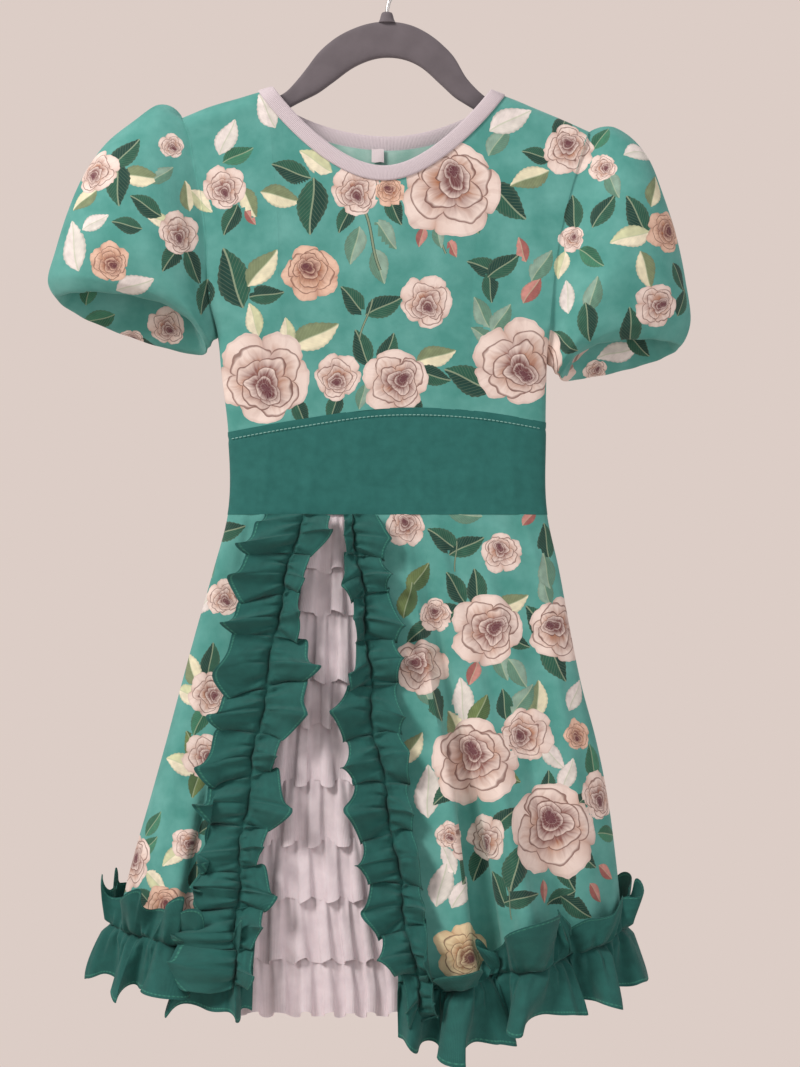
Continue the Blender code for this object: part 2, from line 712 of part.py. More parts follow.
def main():
    clear_scene()
    print_knit = material("Printed knit", (0.09, 0.40, 0.32), 0.75)
    green = material("Green woven", (0.02, 0.15, 0.11), 0.7)
    white = material("White knit", (0.72, 0.62, 0.64), 0.8)
    grey = material("Grey moulded plastic", (0.14, 0.13, 0.14), 0.85)
    steel = material("Steel wire", (0.6, 0.6, 0.6), 0.3, 1.0)

    hanger(grey)
    hook(steel)
    bodice("bodice_front", FRONT, 15, print_knit)
    bodice("bodice_back", BACK, 15, print_knit)
    neckband(white)
    neck_tab(white)
    sleeve("sleeve_left", LEFT_SLEEVE, 28, -1.0, print_knit)
    sleeve("sleeve_right", RIGHT_SLEEVE, 28, 1.0, print_knit)
    waistband("waistband_front", FRONT, green)
    waistband("waistband_back", BACK, green)

    # The three skirt panels: from the left side to the split, from the split to the right side, the back
    crowded = np.concatenate([[0, 0.002], np.linspace(0, 1, 13)[1:] ** 1.4])
    far = 1 - np.concatenate([[0, 0.001], np.linspace(0, 1, 20)[1:] ** 1.3])[::-1]
    skirt_panel("skirt_front_left", FRONT, lambda z: 0 * z, split_f(1), crowded, 11, print_knit)
    skirt_panel("skirt_front_right", FRONT, split_f(2), lambda z: 0 * z + 1, far, 12, print_knit)
    whole = whole_columns(15, 1.3)
    skirt_panel("skirt_back", BACK, lambda z: 0 * z, lambda z: 0 * z + 1, whole, 10, print_knit)

    vertical_ruffle("front_ruffle_left", LEFT_RUFFLE, 1, -1, -786.0, 1.8, green)
    vertical_ruffle("front_ruffle_right", RIGHT_RUFFLE, 2, 1, -800.0, 0.95, green)
    hem_ruffle("hem_ruffle_front_left", HEM_LEFT, FRONT, -224.0, -106.0, 3.0, green)
    hem_ruffle("hem_ruffle_front_right", HEM_RIGHT, FRONT, 12.0, 193.0, 2.1, green)
    hem_ruffle("hem_ruffle_back", HEM_BACK, BACK, -224.0, 193.0, 3.0, green)

    insert_base(white)
    for index in range(len(TIERS)):
        insert_tier(index, white)


main()
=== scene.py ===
"""The ruffle dress on its hanger, as it looks in the photograph, on the frame of its CAD solids.

Tables are in millimetres and meshes in metres. The origin is the inside top of the hook, +Z is up and
the dress faces -Y. Every piece of cloth is a thin shell on the form of the solid that it replaces.
"""
import math

import bpy
import numpy as np
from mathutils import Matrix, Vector


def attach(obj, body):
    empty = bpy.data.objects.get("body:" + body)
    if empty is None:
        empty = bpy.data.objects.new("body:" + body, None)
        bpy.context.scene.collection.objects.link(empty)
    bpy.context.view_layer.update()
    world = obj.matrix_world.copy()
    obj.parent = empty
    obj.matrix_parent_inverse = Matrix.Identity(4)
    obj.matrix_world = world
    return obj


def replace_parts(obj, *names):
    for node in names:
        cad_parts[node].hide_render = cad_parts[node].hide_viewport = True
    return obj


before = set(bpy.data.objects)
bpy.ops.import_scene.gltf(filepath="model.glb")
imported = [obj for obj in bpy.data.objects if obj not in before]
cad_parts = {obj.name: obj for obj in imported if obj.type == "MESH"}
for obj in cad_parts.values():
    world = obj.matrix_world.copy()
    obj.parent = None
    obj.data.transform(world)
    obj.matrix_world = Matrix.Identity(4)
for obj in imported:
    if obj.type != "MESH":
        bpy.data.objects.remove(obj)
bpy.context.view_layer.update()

# Hanger body and collar
# A child's clothes hanger, moulded in one piece of grey polystyrene and covered with short flock. Its
# arms lie along the dress's shoulders and the wire hook stands in its cone-shaped collar.
MM = 0.001
FRONT = -1.0
BACK = 1.0
ARM_DROP = 2.7
HANGER_THICK = 8.0
COLLAR_TOP = -60.0
NECK_CENTRE = -4.3

# Shoulder line, continued straight over the neck: x, height
SHOULDER = [
    (-190, -155),
    (-164, -145),
    (-147, -138),
    (-120, -130),
    (-105, -125.5),
    (0, -126.5),
    (96, -128.5),
    (122, -139),
    (146, -149),
    (166, -158),
    (190, -168),
]

# Hanger between the shoulders: x, top height, bottom height
HANGER = [
    (-92, -130.4, -145.5),
    (-82, -124.5, -139.5),
    (-74, -116.0, -135.0),
    (-66, -106.0, -131.0),
    (-57, -94.0, -126.5),
    (-45, -83.0, -118.0),
    (-27, -73.0, -105.0),
    (0, -67.5, -97.0),
    (28, -74.0, -105.0),
    (45, -86.0, -120.0),
    (56, -98.0, -130.0),
    (64, -112.0, -135.0),
    (73, -122.5, -140.5),
    (86, -133.4, -149.0),
]
HANGER_TIP_LEFT = -157.0
HANGER_TIP_RIGHT = 158.0


def smooth(table, column, at):
    """The table's column at these places, on a smooth curve through its rows."""
    rows = np.array(sorted(row[: column + 1] for row in table), float)
    place, value = rows[:, 0], rows[:, column]
    slope = np.gradient(value, place)
    at = np.clip(at, place[0], place[-1])
    i = np.clip(np.searchsorted(place, at) - 1, 0, len(place) - 2)
    step = place[i + 1] - place[i]
    t = (at - place[i]) / step
    low = (1 + 2 * t) * (1 - t) ** 2 * value[i] + t * (1 - t) ** 2 * step * slope[i]
    high = t**2 * (3 - 2 * t) * value[i + 1] + t**2 * (t - 1) * step * slope[i + 1]
    return low + high


def ease(t):
    t = np.clip(t, 0, 1)
    return t * t * (3 - 2 * t)


def linear(code):
    """A linear colour with alpha, from an sRGB hex code."""
    values = [int(code[i : i + 2], 16) / 255 for i in (0, 2, 4)]
    return (*[v / 12.92 if v <= 0.04045 else ((v + 0.055) / 1.055) ** 2.4 for v in values], 1.0)


def node(tree, kind, inputs=(), ramp=None, **settings):
    """Adds a node with its settings, links and colour stops, and gives its first output."""
    made = tree.nodes.new("ShaderNode" + kind)
    for key, value in settings.items():
        setattr(made, key, value)
    for key, value in inputs.items() if isinstance(inputs, dict) else enumerate(inputs):
        if isinstance(value, bpy.types.NodeSocket):
            tree.links.new(value, made.inputs[key])
        elif value is not None:
            made.inputs[key].default_value = value
    for index, (place, colour) in enumerate(ramp or ()):
        stops = made.color_ramp.elements
        stop = stops[index] if index < len(stops) else stops.new(place)
        stop.position, stop.color = place, colour
    return made.outputs[0] if made.outputs else None


def empty_material(name):
    """A material with no nodes but its output, and its node tree."""
    made = bpy.data.materials.new(name)
    made.use_nodes = True
    made.node_tree.nodes.clear()
    return made, made.node_tree


def finished(made, tree, shader):
    """Links the shader to the material's output."""
    node(tree, "OutputMaterial", {0: shader})
    return made


def place(name, points, faces, finishes, attributes=()):
    """An object at the origin from points in millimetres, shaded smooth but for its sharp edges."""
    mesh = bpy.data.meshes.new(name)
    mesh.from_pydata((np.asarray(points).reshape(-1, 3) * MM).tolist(), [], np.asarray(faces).tolist())
    for finish in finishes:
        mesh.materials.append(finish)
    for key, values in attributes:
        layer = mesh.attributes.new(key, "FLOAT_VECTOR", "POINT")
        layer.data.foreach_set("vector", np.asarray(values, np.float32).ravel())
    mesh.shade_smooth()
    mesh.set_sharp_from_angle(angle=math.radians(75))
    made = bpy.data.objects.new(name, mesh)
    bpy.context.scene.collection.objects.link(made)
    return made


def loft(name, rings, finish):
    """A closed solid from rings of equal counts, both ends drawn to a point."""
    rings = np.asarray(rings, float)
    count, corners = rings.shape[:2]
    points = np.concatenate([rings.reshape(-1, 3), [rings[0].mean(0), rings[-1].mean(0)]])
    faces = []
    for r in range(count - 1):
        for c in range(corners):
            d = (c + 1) % corners
            faces.append((r * corners + c, r * corners + d, (r + 1) * corners + d, (r + 1) * corners + c))
    first, last = count * corners, count * corners + 1
    for c in range(corners):
        d = (c + 1) % corners
        faces.append((first, d, c, c))
        faces.append((last, (count - 1) * corners + c, (count - 1) * corners + d, last))
    faces = [tuple(dict.fromkeys(face)) for face in faces]
    mesh = bpy.data.meshes.new(name)
    mesh.from_pydata((points * MM).tolist(), [], faces)
    mesh.materials.append(finish)
    mesh.shade_smooth()
    mesh.set_sharp_from_angle(angle=math.radians(60))
    made = bpy.data.objects.new(name, mesh)
    bpy.context.scene.collection.objects.link(made)
    return made


# Flocked polystyrene: the short fibres scatter light, so it shows matt with a soft pale edge
flock, tree = empty_material("Flocked polystyrene")
where = node(tree, "NewGeometry")
mottle = node(tree, "TexNoise", {"Vector": where, "Scale": 60.0, "Detail": 3.0})
fibre = node(tree, "TexNoise", {"Vector": where, "Scale": 2500.0, "Detail": 2.0})
tone = node(tree, "MixRGB", (mottle, linear("5d575b"), linear("756e73")))
nap = node(tree, "Bump", {"Strength": 0.35, "Distance": 0.0004, "Height": fibre})
finished(flock, tree, node(tree, "BsdfPrincipled", {
    "Base Color": tone, "Roughness": 0.9, "Normal": nap, "Sheen Weight": 0.35,
    "Sheen Roughness": 0.5, "Sheen Tint": linear("cfc8cb")}))

arms = np.concatenate([
    np.linspace(HANGER_TIP_LEFT, -98, 24), np.linspace(-92, 86, 90), np.linspace(92, HANGER_TIP_RIGHT, 24)])
drop = ARM_DROP + 2.6 * (1 - ease((np.abs(arms - NECK_CENTRE) - 98) / 14))
top = np.where(np.abs(arms + 3) > 90, smooth(SHOULDER, 1, arms) - drop, smooth(HANGER, 1, arms))
tall = 16 - 6 * ease((np.abs(arms) - 95) / 60)
under = np.where(np.abs(arms + 3) > 90, top - tall, smooth(HANGER, 2, arms))
turn = np.linspace(0, 2 * math.pi, 28, endpoint=False)
rings = []
for x, upper, lower in zip(arms, top, under):
    y = HANGER_THICK / 2 * np.sign(np.sin(turn)) * np.abs(np.sin(turn)) ** 0.7
    z = (upper + lower) / 2 + (upper - lower) / 2 * np.sign(np.cos(turn)) * np.abs(np.cos(turn)) ** 0.45
    rings.append(np.stack([np.full_like(y, x), y, z], 1))
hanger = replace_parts(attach(loft("hanger", rings, flock), "root"), "hanger_body")
turn = np.linspace(0, 2 * math.pi, 40, endpoint=False)
rings = []
for z, radius in ((-68.5, 7.4), (-67.2, 6.5), (-65.5, 5.8), (-63.0, 5.2), (-61.2, 4.6), (-60.3, 4.1),
    (-60.0, 3.4)):
    rings.append(np.stack([radius * np.cos(turn), np.clip(radius * np.sin(turn), -6.4, 6.4), 0 * turn + z], 1))
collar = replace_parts(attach(loft("collar", rings, flock), "root"), "hanger_collar")

# Hook
# A length of 3.2 mm bright steel wire, bent round a former and pushed into the collar, where a real
# one turns. Its crown, above the edge of the photo, follows the standard swing of such hooks.
HOOK_RADIUS = 20.0
WIRE = 3.2
SEAM = 0.3
# Drawn steel wire: bright, with fine scratches along the wire and small soft reflections
steel, tree = empty_material("Drawn steel wire")
where = node(tree, "NewGeometry")
drawn = node(tree, "TexNoise", {"Vector": where, "Scale": 900.0, "Detail": 2.0})
gloss = node(tree, "MapRange", {0: drawn, 3: 0.22, 4: 0.36})
finished(steel, tree, node(tree, "BsdfPrincipled", {
    "Base Color": linear("c4c3c1"), "Metallic": 1.0, "Roughness": gloss}))

radius = HOOK_RADIUS + WIRE / 2
start = math.radians(-50)
join = np.array([radius * math.cos(start), -HOOK_RADIUS + radius * math.sin(start)])
lean = np.array([-math.sin(start), math.cos(start)])
a, b, c, d = [np.array([0, COLLAR_TOP - 4]), np.array([0, -47.0]), join - 10 * lean, join]
path = [(1 - t) ** 3 * a + 3 * t * (1 - t) ** 2 * b + 3 * t**2 * (1 - t) * c + t**3 * d
        for t in np.linspace(0, 1, 30)[:-1]]
path += [np.array([radius * math.cos(s), -HOOK_RADIUS + radius * math.sin(s)])
         for s in np.linspace(start, math.radians(200), 80)]
path = np.array(path)
tangent = np.gradient(path, axis=0)
tangent /= np.linalg.norm(tangent, axis=1, keepdims=True)
turn = np.linspace(0, 2 * math.pi, 20, endpoint=False)
rings = [np.stack([p[0] + WIRE / 2 * np.cos(turn) * t[1], WIRE / 2 * np.sin(turn),
                   p[1] - WIRE / 2 * np.cos(turn) * t[0]], 1) for p, t in zip(path, tangent)]
tip = path[-1] + tangent[-1] * WIRE * 0.3
rings.append(np.stack([tip[0] + 0.55 * WIRE / 2 * np.cos(turn) * tangent[-1][1],
                       0.55 * WIRE / 2 * np.sin(turn),
                       tip[1] - 0.55 * WIRE / 2 * np.cos(turn) * tangent[-1][0]], 1))
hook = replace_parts(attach(loft("hook", rings, steel), "root"), "hanger_hook")

# Bodice, front and back
# Two cut pieces of printed cotton jersey, sewn together at the shoulders and sides. They hang flat on
# the hanger, with soft drag lines from the armholes and the waist seam.
WALL = 1.2
HALF_GAP = 0.3
EDGE_STEP = 0.0005
NECK_HALF = 100.5
FRONT_NECK_DROP = 73.0
BACK_NECK_DROP = 45.0
SHOULDER_ROUND = 14.0
ARMPIT_LEFT = -328.0
ARMPIT_RIGHT = -350.0
SKIRT_TOP = -472.0

# Body sections: height, left x, right x, front depth, back depth, squareness of the section
BODY = [
    (-110, -186, 186, 11, 10, 6.0),
    (-145, -169, 173, 12, 10, 6.0),
    (-160, -162, 165, 12, 11, 6.0),
    (-181, -158, 158, 13, 11, 6.0),
    (-211, -152, 149, 14, 12, 6.0),
    (-240, -148, 142, 15, 12, 6.0),
    (-300, -144, 134, 16, 13, 5.5),
    (-330, -138, 132, 16, 13, 5.0),
    (-352, -136, 131, 16, 13, 5.0),
    (-405, -130, 130, 15, 12, 5.0),
    (-470, -130, 131, 15, 12, 5.0),
    (-517, -142, 141, 18, 15, 4.5),
    (-566, -156, 150, 23, 19, 4.0),
    (-610, -168, 159, 29, 23, 3.6),
    (-655, -180, 171, 35, 28, 3.3),
    (-705, -194, 181, 42, 33, 3.0),
    (-750, -207, 187, 48, 38, 2.8),
    (-790, -217, 191, 54, 42, 2.7),
    (-830, -224, 193, 58, 45, 2.6),
    (-900, -230, 196, 62, 48, 2.6),
]

# Seam between bodice and waistband: x, height
WAIST_SEAM = [(-140, -406), (-70, -394), (0, -385), (70, -387), (140, -398)]

# Long soft folds of the skirt: side, x at waist, x at hem, height where it starts, half width, height
FOLDS = [
    (FRONT, 8, 62, -520, 14, 12),
    (FRONT, 22, 84, -520, 9, -9),
    (FRONT, 45, 122, -560, 17, 15),
    (FRONT, 66, 147, -580, 12, -7),
    (FRONT, 92, 170, -600, 15, 8),
    (FRONT, -112, -186, -600, 13, 7),
    (FRONT, -95, -162, -640, 9, -13),
    (FRONT, -80, -138, -620, 12, 5),
    (BACK, -88, -158, -540, 17, 10),
    (BACK, -62, -118, -560, 12, -8),
    (BACK, -38, -76, -530, 18, 13),
    (BACK, -12, -28, -570, 13, -9),
    (BACK, 14, 22, -540, 18, 14),
    (BACK, 40, 68, -560, 12, -8),
    (BACK, 62, 112, -530, 17, 12),
    (BACK, 92, 158, -580, 14, 8),
]
# Roses of the print, read off the photo: kind, x, height, radius
ROSES = [
    ("rose", 52, -207, 42.2, 72), ("rose", -25, -207, 21.1, -80), ("peach", 2, -209, 12.9, 102),
    ("rose", 148, -175, 21.1, 102), ("rose", -132, -205, 18.4, -90), ("peach", -62, -276, 23, 110),
    ("rose", 32, -298, 22, -70), ("rose", -100, -359, 39.5, -84), ("rose", -40, -359, 19.3, -90),
    ("rose", 6, -364, 27.6, 20), ("rose", 106, -348, 36.7, -64), ("rose", -235, -193, 19.3, 255),
    ("rose", -167, -244, 18.4, 255), ("peach", -223, -268, 16.5, 306), ("rose", -182, -316, 16.5, 306),
    ("rose", -175, -172, 11, 306), ("rose", 175, -190, 11.9, 357), ("peach", 226, -242, 18.4, 357),
    ("rose", 217, -303, 18.4, 357), ("rose", 150, -248, 11, 48), ("rose", 172, -353, 11, 48),
    ("rose", -212, -326, 11, 48), ("rose", 15, -482, 16.5, 99), ("rose", 93, -503, 17.4, 99),
    ("rose", 39, -554, 13.8, 99), ("rose", 80, -565, 30.3, 10), ("rose", 141, -565, 27.6, 150),
    ("rose", 28, -594, 23, 150), ("rose", 71, -671, 36.7, 98), ("rose", 113, -649, 22, 201),
    ("rose", 132, -727, 38.6, 90), ("rose", 80, -731, 20.2, 252), ("peach", 154, -650, 12.9, 252),
    ("rose", 173, -699, 20.2, 252), ("rose", 49, -727, 11, 303), ("gold", 62, -818, 23, 303),
    ("rose", -133, -539, 15.6, 303), ("rose", -144, -617, 18.4, 354), ("rose", -148, -666, 18.4, 354),
    ("rose", -161, -736, 12.9, 354), ("rose", -207, -755, 23.9, 45), ("peach", -179, -789, 20.2, 45),
    ("rose", -151, -791, 18.4, 45), ("rose", -127, -746, 14.7, 96),
]
# Leaves, buds and stems: kind, x, height, half length, direction of the tip (None: away from the rose)
LEAVES = [
    ("dark", -78, -192, 17.3, None), ("two", -86, -213, 17.3, None), ("dark", -61, -221, 23.8, -90),
    ("dark", -34, -231, 13, -110), ("dark", 6, -224, 14.1, -60), ("grey", -26, -253, 16.2, -100),
    ("grey", -1, -244, 15.2, -50), ("grey", -6, -270, 15.2, -70), ("stem", -12, -248, 26, -72),
    ("dark", 98, -217, 21.6, -40), ("green", 75, -231, 13, -90), ("grey", 91, -167, 15.2, 60),
    ("ghost", 101, -150, 19.5, 30), ("dark", 122, -179, 13, 170), ("two", 116, -198, 17.3, 205),
    ("dark", 144, -153, 15.2, 70), ("ghost", -130, -164, 16.2, 70), ("green", -121, -179, 14.1, 30),
    ("two", -112, -218, 14.1, -60), ("dark", -127, -232, 14.1, -110), ("bud", -111, -230, 7.6, -50),
    ("ghost", -98, -142, 16.2, 120), ("cream", -58, -184, 16.2, 150), ("dark", -125, -279, 26, 112),
    ("two", -101, -271, 19.5, 55), ("dark", -98, -293, 15.2, 12), ("dark", -27, -298, 16.2, 135),
    ("dark", -2, -302, 17.3, 30), ("stem", -17, -313, 17.3, 75), ("dark", 80, -271, 16.2, 165),
    ("dark", 95, -269, 16.2, 40), ("dark", 84, -287, 13, -80), ("bud", 110, -256, 10.8, 110),
    ("bud", 118, -289, 13, 60), ("grey", 126, -269, 15.2, 60), ("grey", 77, -307, 14.1, 120),
    ("grey", 93, -312, 14.1, 60), ("grey", 78, -326, 11.9, 150), ("cream", -108, -313, 14.1, 110),
    ("two", -58, -326, 21.6, 30), ("cream", -81, -324, 13, 100), ("dark", -20, -336, 16.2, 115),
    ("dark", 1, -338, 15.2, 75), ("two", 40, -343, 17.3, 20), ("dark", 38, -359, 15.2, -10),
    ("dark", 66, -362, 21.6, 160), ("dark", -70, -389, 13, -60), ("dark", -43, -385, 13, -100),
    ("grey", -20, -376, 10.8, -100), ("dark", 23, -385, 13, -60), ("bud", 28, -246, 8.7, -100),
    ("bud", 53, -255, 8.7, -60), ("grey", 42, -246, 9.7, -70), ("stem", 43, -243, 17.3, -70),
    ("dark", -212, -180, 18.4, 60), ("two", -198, -199, 17.3, 0), ("dark", -217, -205, 19.5, -80),
    ("ghost", -253, -254, 21.6, 105), ("ghost", -203, -287, 17.3, 20), ("grey", -182, -197, 13, 40),
    ("dark", -194, -223, 15.2, 150), ("cream", -151, -217, 13, -40), ("dark", -157, -271, 16.2, -60),
    ("dark", -209, -239, 13, 170), ("two", -245, -217, 14.1, -140), ("dark", -203, -332, 14.1, -20),
    ("green", -239, -310, 15.2, -160), ("two", -162, -213, 13, 100), ("dark", -149, -295, 15.2, -100),
    ("ghost", -235, -236, 13, 30), ("dark", -173, -264, 15.2, -120), ("cream", -184, -234, 10.8, 170),
    ("green", -245, -287, 13, 80), ("dark", 202, -230, 18.4, 120), ("cream", 196, -248, 17.3, 200),
    ("dark", 175, -226, 16.2, 60), ("ghost", 207, -176, 16.2, 10), ("ghost", 189, -338, 17.3, 200),
    ("dark", 197, -321, 17.3, 100), ("two", 209, -275, 16.2, -70), ("dark", 237, -279, 13, -60),
    ("grey", 166, -294, 15.2, 80), ("dark", 162, -317, 16.2, -80), ("ghost", 147, -295, 14.1, 100),
    ("dark", 144, -332, 13, 150), ("two", 217, -209, 15.2, 70), ("dark", 152, -226, 15.2, 100),
    ("green", 165, -264, 14.1, -30), ("grey", 183, -205, 13, -60), ("dark", 240, -299, 13, 70),
    ("dark", 207, -332, 14.1, -40), ("cream", 142, -269, 11.9, -100), ("green", 175, -164, 11.9, 60),
    ("grey", 64, -472, 14.1, 0), ("dark", 46, -492, 16.2, 150), ("dark", 65, -497, 16.2, 30),
    ("stem", 56, -505, 13, -90), ("bud", 116, -474, 8.7, None), ("dark", 130, -493, 15.2, 100),
    ("olive", 26, -523, 15.2, 60), ("grey", 130, -517, 15.2, None), ("grey", 129, -533, 13, None),
    ("dark", 52, -551, 15.2, None), ("dark", 56, -531, 15.2, None), ("dark", 73, -531, 16.2, None),
    ("two", 101, -544, 16.2, 30), ("dark", 105, -574, 13, None), ("grey", 93, -593, 14.1, None),
    ("grey", 106, -600, 14.1, None), ("bud", 70, -600, 10.8, None), ("dark", 123, -559, 17.3, 130),
    ("dark", 137, -590, 19.5, -60), ("ghost", 153, -618, 15.2, 60), ("ghost", 61, -621, 18.4, 100),
    ("olive", 75, -630, 15.2, 70), ("two", 56, -644, 15.2, None), ("grey", 110, -621, 15.2, 60),
    ("two", 122, -621, 16.2, 90), ("dark", 95, -625, 13, 100), ("dark", 93, -715, 15.2, None),
    ("dark", 75, -752, 16.2, None), ("dark", 103, -753, 19.5, -100), ("dark", 144, -759, 16.2, -60),
    ("dark", 158, -746, 16.2, None), ("ghost", 146, -681, 14.1, None), ("ghost", 134, -667, 14.1, None),
    ("green", 167, -672, 15.2, 100), ("green", 180, -731, 13, None), ("dark", 156, -703, 13, None),
    ("bud", 126, -774, 9.7, None), ("bud", 177, -761, 9.7, None), ("bud", 168, -776, 9.7, None),
    ("dark", 152, -787, 15.2, -30), ("dark", 140, -779, 13, -150), ("dark", 90, -771, 16.2, 120),
    ("dark", 105, -776, 15.2, 20), ("stem", 98, -781, 13, -80), ("ghost", 33, -693, 21.6, 95),
    ("ghost", 44, -765, 19.5, 80), ("ghost", 60, -771, 15.2, 60), ("ghost", 49, -746, 13, 120),
    ("dark", 40, -623, 16.2, None), ("dark", 48, -694, 14.1, None), ("dark", 27, -566, 14.1, None),
    ("olive", 17, -541, 15.2, 80), ("grey", 31, -615, 13, -60), ("two", 20, -660, 16.2, 60),
    ("dark", 130, -689, 11.9, None), ("olive", 97, -681, 13, None), ("dark", -130, -485, 16.2, 20),
    ("grey", -148, -513, 10.8, None), ("ghost", -150, -545, 15.2, -140),
    ("two", -159, -597, 16.2, None), ("dark", -143, -590, 15.2, None), ("cream", -162, -617, 15.2, 170),
    ("green", -151, -638, 14.1, None), ("cream", -166, -673, 16.2, 170),
    ("olive", -157, -659, 14.1, 120), ("olive", -153, -687, 14.1, -100), ("green", -189, -722, 13, 60),
    ("green", -193, -740, 13, None), ("cream", -171, -746, 13, None), ("dark", -141, -722, 13, None),
    ("two", -221, -771, 15.2, 200), ("dark", -194, -781, 13, None), ("cream", -186, -767, 13, None),
    ("dark", -153, -763, 13, None), ("bud", -121, -574, 8.7, None), ("dark", -128, -672, 15.2, None),
    ("dark", -135, -705, 13, None),
]
# Crease lines of the bodice: side, first x and height, last x and height, half width, height
BODICE_CREASES = [
    (FRONT, -128, -345, -96, -392, 7, 1.6), (FRONT, -136, -300, -104, -330, 8, 1.3),
    (FRONT, -118, -398, -70, -372, 8, -1.2), (FRONT, -60, -250, -96, -330, 14, 0.9),
    (FRONT, 118, -398, 86, -340, 8, 1.4), (FRONT, 128, -330, 96, -352, 7, 1.2),
    (FRONT, 60, -382, 84, -318, 13, -1.0), (FRONT, 10, -250, -14, -390, 22, 0.8),
    (FRONT, 112, -170, 122, -250, 11, 1.2), (FRONT, -128, -170, -132, -240, 10, 1.1),
    (FRONT, -40, -396, 30, -388, 5, -0.8), (FRONT, 40, -200, 70, -280, 16, 0.7),
    (BACK, -126, -345, -88, -394, 8, 1.6), (BACK, -110, -250, -70, -340, 15, 1.0),
    (BACK, 122, -350, 84, -392, 8, 1.5), (BACK, 20, -210, -8, -384, 20, 1.1),
    (BACK, 96, -200, 70, -300, 14, 0.9), (BACK, -60, -180, -40, -260, 12, -0.9),
]


def fold_depth(x, z, side):
    """How far the skirt's long folds stand out of its section."""
    out = np.zeros_like(x)
    for face, waist_x, hem_x, start, half, height in FOLDS:
        if face != side:
            continue
        down = (SKIRT_TOP - z) / (SKIRT_TOP + 840)
        centre = waist_x + (hem_x - waist_x) * down
        grown = ease((start - z) / (start + 860))
        width = half * (0.5 + 0.5 * np.clip(down, 0, 1.2))
        out = out + height * grown * np.exp(-(((x - centre) / width) ** 2))
    return out


def body(f, z, side, folded=True):
    """Outer surface of the dress: f runs 0 to 1 from left to right, side is FRONT or BACK."""
    f, z = np.broadcast_arrays(np.asarray(f, float), np.asarray(z, float))
    left, right = smooth(BODY, 1, z), smooth(BODY, 2, z)
    depth = smooth(BODY, 3 if side == FRONT else 4, z)
    square = smooth(BODY, 5, z)
    x = left + f * (right - left)
    across = np.abs(2 * f - 1)
    profile = (1 - np.clip(across, 0, 1) ** square) ** (1 / square)
    armpit = np.where(f < 0.5, ARMPIT_LEFT, ARMPIT_RIGHT)
    armhole = ease((z - armpit - 2) / 34)
    profile = profile + (1 - profile) * armhole
    below = np.clip((smooth(SHOULDER, 1, x) - z) / SHOULDER_ROUND, 0, 1)
    profile = profile * np.sqrt(1 - (1 - below) ** 2)
    folds = fold_depth(x, z, side) * (1 - across**6) if folded else 0.0
    return np.stack([x, side * (HALF_GAP + depth * profile + folds), z], -1)


def outward(f, z, side):
    """Unit normals of the body's surface, pointing away from the wearer."""
    df, dz = 0.004, 1.5
    along = body(np.clip(f + df, 0, 1), z, side) - body(np.clip(f - df, 0, 1), z, side)
    up = body(f, z + dz, side) - body(f, z - dz, side)
    normal = np.cross(along, up) * -side
    return normal / np.maximum(np.linalg.norm(normal, axis=-1, keepdims=True), 1e-9)


def f_at(x, z):
    left, right = smooth(BODY, 1, z), smooth(BODY, 2, z)
    return (x - left) / (right - left)


def top_edge(x, side):
    """Height of the bodice's upper edge at x: shoulder, and the neckline between the tips."""
    across = np.clip(np.abs((x - NECK_CENTRE) / NECK_HALF), 0, 1)
    if side == FRONT:
        drop = FRONT_NECK_DROP * (1 - across**2) ** 0.9
    else:
        drop = BACK_NECK_DROP * (1 - across**2.6) ** 0.6
    return smooth(SHOULDER, 1, x) - drop


def top_of_column(f, side):
    """Height at which a column of the bodice meets its upper edge."""
    low, high = np.full_like(f, -260.0), np.full_like(f, -118.0)
    for _ in range(40):
        middle = (low + high) / 2
        over = middle > top_edge(body(f, middle, side)[..., 0], side)
        high = np.where(over, middle, high)
        low = np.where(over, low, middle)
    return (low + high) / 2


def neck_columns(count):
    """Places across the neck, closer together at its two tips."""
    tips = []
    for x in (NECK_CENTRE - NECK_HALF, NECK_CENTRE + NECK_HALF):
        height = float(smooth(SHOULDER, 1, x))
        tips.append(float(f_at(x, height)))
    t = 0.5 - 0.5 * np.cos(np.linspace(0, math.pi, count))
    return tips[0] + (tips[1] - tips[0]) * t


def creases(x, z, side, table):
    """Height of the soft creases in the table at these places, tapering to both of their ends."""
    out = np.zeros_like(x)
    for face, x1, z1, x2, z2, half, height in table:
        if face != side:
            continue
        length = math.hypot(x2 - x1, z2 - z1)
        along = ((x - x1) * (x2 - x1) + (z - z1) * (z2 - z1)) / length**2
        away = ((x - x1) * (z2 - z1) - (z - z1) * (x2 - x1)) / length
        fade = ease((along + 0.25) / 0.5) * ease((1.25 - along) / 0.5)
        out += height * fade * np.exp(-((away / (half * (0.6 + 0.4 * np.clip(along, 0, 1)))) ** 2))
    return out


def limp(x, z, size):
    """Low waves of limp cloth, uneven in length, depth and spacing."""
    return size * (
        np.sin(x / 23 + 1.3 * np.sin(z / 47)) * np.sin(z / 61 + 0.7 * np.sin(x / 37))
        + 0.5 * np.sin(x / 11 - z / 29 + 2 * np.sin(z / 83)))


def unit_normals(grid, ring=False, flip=False):
    """Unit normals of a grid of points, towards its outer face."""
    along = np.roll(grid, -1, 1) - np.roll(grid, 1, 1) if ring else np.gradient(grid, axis=1)
    normal = np.cross(along, np.gradient(grid, axis=0)) * (-1 if flip else 1)
    return normal / np.maximum(np.linalg.norm(normal, axis=-1, keepdims=True), 1e-9)


